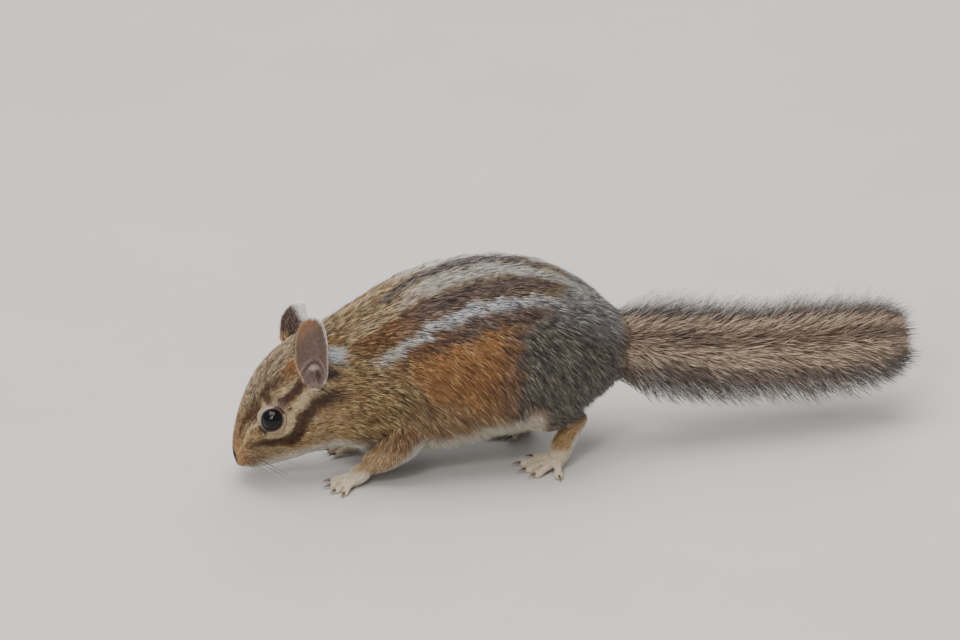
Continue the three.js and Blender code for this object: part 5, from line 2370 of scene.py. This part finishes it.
@dataclass
class Whiskers:
    """Rows of whiskers on both sides of the muzzle."""

    trunk: Trunk
    rows: tuple = ((1.75, 74), (1.95, 92), (2.1, 110), (2.2, 126))
    each: int = 5
    length: float = 19.0
    thickness: float = 0.08
    sides: int = 5
    seed: int = 5

    def build(self, plan: Plan, finish: bpy.types.Material) -> Object:
        """Makes the whiskers.

        Args:
            plan: The plan that places them.
            finish: Their material.

        Returns:
            The whiskers as one mesh object.
        """
        draw = np.random.default_rng(self.seed)
        made = []
        share = np.linspace(0, 1, 12)
        colours = shade(46, 38, 34) + share[:, None] * 0.12
        for side in SIDES.values():
            for row, (place, turn) in enumerate(self.rows):
                for k in range(self.each):
                    angle = np.array([math.radians(turn - 1.5 * k)]) * side
                    root = self.trunk.surface(np.array([place + 0.26 * k]), angle, 0.6)[0]
                    out = unit(np.array([0.30 + 0.14 * k, side * 1.1, 0.28 - 0.14 * row]) + draw.normal(0, 0.07, 3))
                    length = self.length * (0.55 + 0.13 * k) * draw.uniform(0.85, 1.1)
                    line = root + out * (share * length)[:, None]
                    line[:, 0] += 3.5 * share**2
                    line[:, 2] = np.maximum(line[:, 2] - (1.6 + row) * share**2, 0.4)
                    made.append(Strand(line, np.maximum(1 - share, 0.12), colours))
        return Strands("whiskers", self.thickness, self.sides).build(plan, made, finish)


# Ears' coat and colours


@dataclass
class EarCoat:
    """The thin hair of the ears: down inside, short fur outside and a fringe on the rims."""

    ear: Ear
    seed: int
    hairs: int = 7500
    rim_share: float = 0.34
    inner_share: float = 0.30

    def colours(self, across: Array, rise: Array, inside: Array) -> Array:
        """Gives the skin's colour over the ear, with painted shadow under the fold and painted shade in the opening.

        Args:
            across: Places across the leaf.
            rise: Places along it.
            inside: 1 on the inner side and 0 on the outer.

        Returns:
            One colour for each place.
        """
        ahead = across * self.ear.side
        # Dark band just below the fold's ridge: painted shadow cast by the ridge, over somewhat darker hair there
        arch = bell(rise + 0.31 + 0.4 * (ahead - 0.05) ** 2, 0, 0.05) * ease(0.9, 0.6, np.abs(ahead))
        # Dark spot in the ear's opening: painted shade in the hollow
        slit = bell(rise, -0.70, 0.12) * bell(ahead, -0.08, 0.20)
        inner = shade(116, 96, 86)
        for colour, share in (
            (shade(176, 128, 86), ease(0.35, 1.0, 0.8 * rise + 0.35 * ahead)),
            (shade(122, 102, 98), 1 - ease(-0.45, -0.1, rise)),
            (shade(196, 178, 156), 1 - ease(-0.98, -0.80, rise)),
            (shade(214, 196, 188), bell(rise, -0.46, 0.09) * bell(ahead, 0.2, 0.34) * 0.8),
            (shade(70, 42, 40), 0.85 * arch),
            (shade(58, 34, 32), np.clip(1.3 * slit, 0, 0.95)),
        ):
            inner = over(inner, colour, share)
        outer = over(shade(70, 54, 46), shade(180, 174, 168), ease(0.0, 0.6, -ahead + 0.6 * rise))
        return np.where(inside[:, None] > 0.5, inner, outer)

    def tufts(self) -> Tufts:
        """Grows the ear's hair.

        Returns:
            The tufts.
        """
        draw = np.random.default_rng(self.seed)
        n = self.hairs
        angle = draw.random(n) * TURN
        rim = draw.random(n) < self.rim_share
        reach = np.where(rim, 0.94 + 0.06 * draw.random(n), np.sqrt(draw.random(n)) * 0.99)
        across, rise = reach * np.sin(angle), reach * np.cos(angle)
        ahead = across * self.ear.side
        inner = draw.random(n) < self.inner_share
        wall = self.ear.plan.wall / 2 * np.sqrt(np.clip(1 - reach**6, 0, 1))
        depth = np.where(inner, wall + self.ear.front(across, rise), -wall)
        base = self.ear.sheet(across, rise, depth)
        step = 0.02
        up = unit(self.ear.sheet(across, rise + step, depth) - self.ear.sheet(across, rise - step, depth))
        wide = unit(self.ear.sheet(across + step, rise, depth) - self.ear.sheet(across - step, rise, depth))
        out = unit(np.cross(wide, up))
        facing = (out * self.ear.directions()[3]).sum(1, keepdims=True)
        out = out * np.sign(facing) * np.where(inner, 1, -1)[:, None]
        radial = unit(wide * across[:, None] + up * rise[:, None])
        lie = unit(up * 0.8 + radial * np.where(rim, 0.7, 0.15)[:, None] + wide * draw.normal(0, 0.15, n)[:, None])
        side = unit(np.cross(out, lie))
        length = np.where(rim, 0.75, np.where(inner, 0.8, 1.15)) * draw.uniform(0.7, 1.2, n)
        length = length * (1 + 0.8 * (1 - ease(-0.9, -0.3, rise)) + 0.7 * (ease(0.55, 0.85, ahead) * ~inner))
        lift = np.where(rim, 0.10, 0.26)[:, None]
        steep, flat = (lie * np.cos(angle) + out * np.sin(angle) for angle in (lift + 0.2, lift))
        start = base - out * 0.06
        middle, tip = bowed(start, steep, flat, length)
        width = np.where(rim, 0.11, 0.13) * draw.uniform(0.7, 1.2, n)
        hair = blended(Hairs.EAR_BACK, [
            (Hairs.EAR_INNER, inner.astype(float)),
            (Hairs.EAR_FRONT, ease(0.66, 0.86, ahead) * ease(0.1, -0.3, rise)),
            (Hairs.CREAM, 0.7 * rim * inner * ease(0.4, 0.8, ahead)),
            (Hairs.EAR_EDGE, ease(-0.15, 0.25, rise * 0.6 - ahead) * np.where(rim, 0.95, 0.9 * ~inner)),
        ])
        tone = picked(hair, draw.random(n)) * draw.uniform(0.88, 1.12, (n, 1))
        form = Form.EAR_LEFT if self.ear.side == LEFT else Form.EAR_RIGHT
        chart = chart_of(form, (rise + 1) / 2, across * math.pi * np.where(inner, 0.45, 0.95))
        return Tufts([start, rung(middle, side, out, width), tip], [tone * 0.75, tone * 0.95, tone], chart)


# Studio


def aimed(name: str, data: bpy.types.ID, place: Vector, ahead: Vector) -> Object:
    """Puts a lamp or camera at a place, in metres, and turns it to a direction.

    Args:
        name: Name of the object.
        data: The lamp or camera.
        place: Where it stands.
        ahead: Where it looks.

    Returns:
        The object.
    """
    made = placed(name, data)
    made.location = place
    made.rotation_euler = ahead.to_track_quat("-Z", "Y").to_euler()
    return made


@dataclass(frozen=True)
class Lamp:
    """One soft lamp: its place, the point it faces and its width and height in metres, its watts and its colour."""

    name: str
    place: tuple
    aim: tuple
    size: tuple
    power: float
    tint: tuple


LAMPS = (
    Lamp("overhead", (-0.1, 0.05, 1.1), (0, 0, 0), (1.2, 1.0), 18.0, (1.0, 0.99, 0.975)),
    Lamp("front", (-0.75, -1.1, 0.75), (-0.02, 0, 0.03), (0.7, 0.5), 5.6, (1.0, 0.985, 0.96)),
    Lamp("behind", (0.5, 1.0, 0.8), (0, 0, 0.04), (0.8, 0.5), 6.5, (0.95, 0.97, 1.0)),
    Lamp("window", (-0.30, -0.55, 0.62), (-0.096, -0.01, 0.023), (0.14, 0.12), 2.0, (1.0, 1.0, 1.0)),
)


@dataclass
class Studio:
    """Floor, lights and the camera at the photo's angle."""

    plan: Plan
    azimuth: float = -14.0
    elevation: float = 24.0
    distance: float = 3.2
    lens: float = 400.0
    aim_up: float = 40.5
    floor_size: float = 12.0

    def floor(self) -> None:
        """Lays the pale floor."""
        bpy.ops.mesh.primitive_plane_add(size=self.floor_size, location=(0, 0, 0))
        floor = bpy.context.object
        floor.name = "floor"
        floor.data.materials.append(FloorFinish().material())

    def lights(self) -> None:
        """Hangs the lamps and sets the pale surroundings."""
        for lamp in LAMPS:
            data = bpy.data.lights.new(lamp.name, "AREA")
            data.shape = "RECTANGLE"
            data.size, data.size_y = lamp.size
            data.energy, data.color = lamp.power, lamp.tint
            aimed(lamp.name, data, Vector(lamp.place), Vector(lamp.aim) - Vector(lamp.place))
        world = bpy.data.worlds.new("surroundings")
        world.use_nodes = True
        ground = world.node_tree.nodes["Background"]
        ground.inputs["Color"].default_value = (0.80, 0.84, 0.90, 1)
        ground.inputs["Strength"].default_value = 0.42
        bpy.context.scene.world = world

    def camera(self) -> None:
        """Sets the camera at the photo's angle and framing."""
        a, e = math.radians(self.azimuth), math.radians(self.elevation)
        back = Vector((math.sin(a) * math.cos(e), -math.cos(a) * math.cos(e), math.sin(e)))
        up = back.cross(Vector((math.cos(a), math.sin(a), 0)))
        aim = Vector(self.plan.metres(np.zeros(3))) + up * (self.aim_up * MM)
        data = bpy.data.cameras.new("camera")
        data.lens = self.lens
        data.sensor_width = 36
        data.clip_start, data.clip_end = 0.1, 30
        bpy.context.scene.camera = aimed("camera", data, aim + back * self.distance, -back)

    def build(self) -> None:
        """Builds floor, lights and camera."""
        self.floor()
        self.lights()
        self.camera()


# The whole animal


FLESH = ("head", "neck", "torso", "foreleg_left", "foreleg_right", "hindleg_left", "hindleg_right", "forepaw_left",
         "forepaw_right", "hindfoot_left", "hindfoot_right", "ear_left", "ear_right")
TAIL_NODES = ("tail_root", "tail_middle", "tail_brush", "tail_end")
# The record's slots for pieces of the coat; the others are the back's fur
SLOTS = {"head": "head_fur", "legs": "leg_fur", "feet": "foot_fur"}


def dress(made: Object, finish: bpy.types.Material, slot: str, *nodes: str) -> None:
    """Gives a piece its material, hides the solids that it stands for, and fixes it to the body.

    Args:
        made: The piece.
        finish: Its material.
        slot: The record's slot for it; not used.
        nodes: The solids that it stands for.
    """
    made.data.materials.clear()
    made.data.materials.append(finish)
    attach(made, "root")
    if nodes:
        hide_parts(*nodes)
    log.info("%s: %d faces", made.name, len(made.data.polygons))


def join_parts(skin: Object, cover: Cover, ears: list[Ear], lids: list[Lids], plan: Plan, markings: Markings) -> None:
    """Paints the skin with the coat's markings and lets ears and lids into it.

    Args:
        skin: The skin's object.
        cover: What is known at its corners.
        ears: The two ears.
        lids: The lids of the two eyes.
        plan: The plan that places them.
        markings: The coat's colours.
    """
    hair = markings.at(cover.form, cover.place, cover.turn, cover.points, cover.normals)
    bare = np.where((cover.points[:, 0] < -72)[:, None], shade(64, 51, 47), shade(110, 92, 80))
    paint(skin.data, over(hair[:, 0:3] * 0.55 + hair[:, 3:6] * 0.45, bare, np.clip(cover.bare, 0, 1)))
    parts = [skin]
    for ear in ears:
        shape, *places = ear.shape()
        parts.append(plan.piece("ear_part", shape))
        paint(parts[-1].data, EarCoat(ear, 1).colours(*places))
    for lid in lids:
        shape, colours = lid.shape()
        parts.append(plan.piece("lid_part", shape))
        paint(parts[-1].data, colours)
    with bpy.context.temp_override(active_object=skin, selected_editable_objects=parts, selected_objects=parts):
        bpy.ops.object.join()


def main() -> None:
    """Builds the animal and the studio, and reports each piece."""
    logging.basicConfig(level=logging.INFO, format="%(message)s")
    plan = Plan("eye_left", on_side(EYE.at, LEFT))
    trunk, tail, markings = Trunk(), TailForm(), Markings()
    legs = [
        Leg(FORELEG, FOREPAW, LEFT, Form.FORELEG_LEFT, Form.FOREPAW_LEFT),
        Leg(FORELEG, FOREPAW, RIGHT, Form.FORELEG_RIGHT, Form.FOREPAW_RIGHT),
        Leg(HINDLEG, HINDFOOT, LEFT, Form.HINDLEG_LEFT, Form.HINDFOOT_LEFT),
        Leg(HINDLEG, HINDFOOT, RIGHT, Form.HINDLEG_RIGHT, Form.HINDFOOT_RIGHT),
    ]
    ears, lids = [Ear(LEFT), Ear(RIGHT)], [Lids(LEFT), Lids(RIGHT)]
    skin, cover = Skin(plan, trunk, legs, tail, ears).build()
    join_parts(skin, cover, ears, lids, plan, markings)
    dress(skin, SkinFinish().material(), "bare_skin", *FLESH)
    fur = FurFinish().material()
    for piece in Coat(cover, markings, trunk).pieces(plan):
        dress(piece, fur, SLOTS.get(piece.name.split("_")[1], "back_fur"))
    for i, piece in enumerate(TailBrush(tail).pieces(plan)):
        dress(piece, fur, "tail_hair", *(TAIL_NODES if i == 0 else ()))
    eye_finish = EyeFinish().material()
    for i, (word, side) in enumerate(SIDES.items()):
        dress(Eye(side, word).ball(plan), eye_finish, "eye", f"eye_{word}")
        dress(lids[i].tufts().piece(f"lid_hair_{word}", plan), fur, "head_fur")
        dress(EarCoat(ears[i], 90 + i).tufts().piece(f"ear_hair_{word}", plan), fur, "head_fur")
    horn = HornFinish("claw_horn", 0.35).material()
    dress(Claws(legs).build(plan, horn), horn, "claw_horn")
    whisker = HornFinish("whisker_horn", 0.4).material()
    dress(Whiskers(trunk).build(plan, whisker), whisker, "whisker")
    Studio(plan).build()
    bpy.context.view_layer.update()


if __name__ == "__main__":
    main()
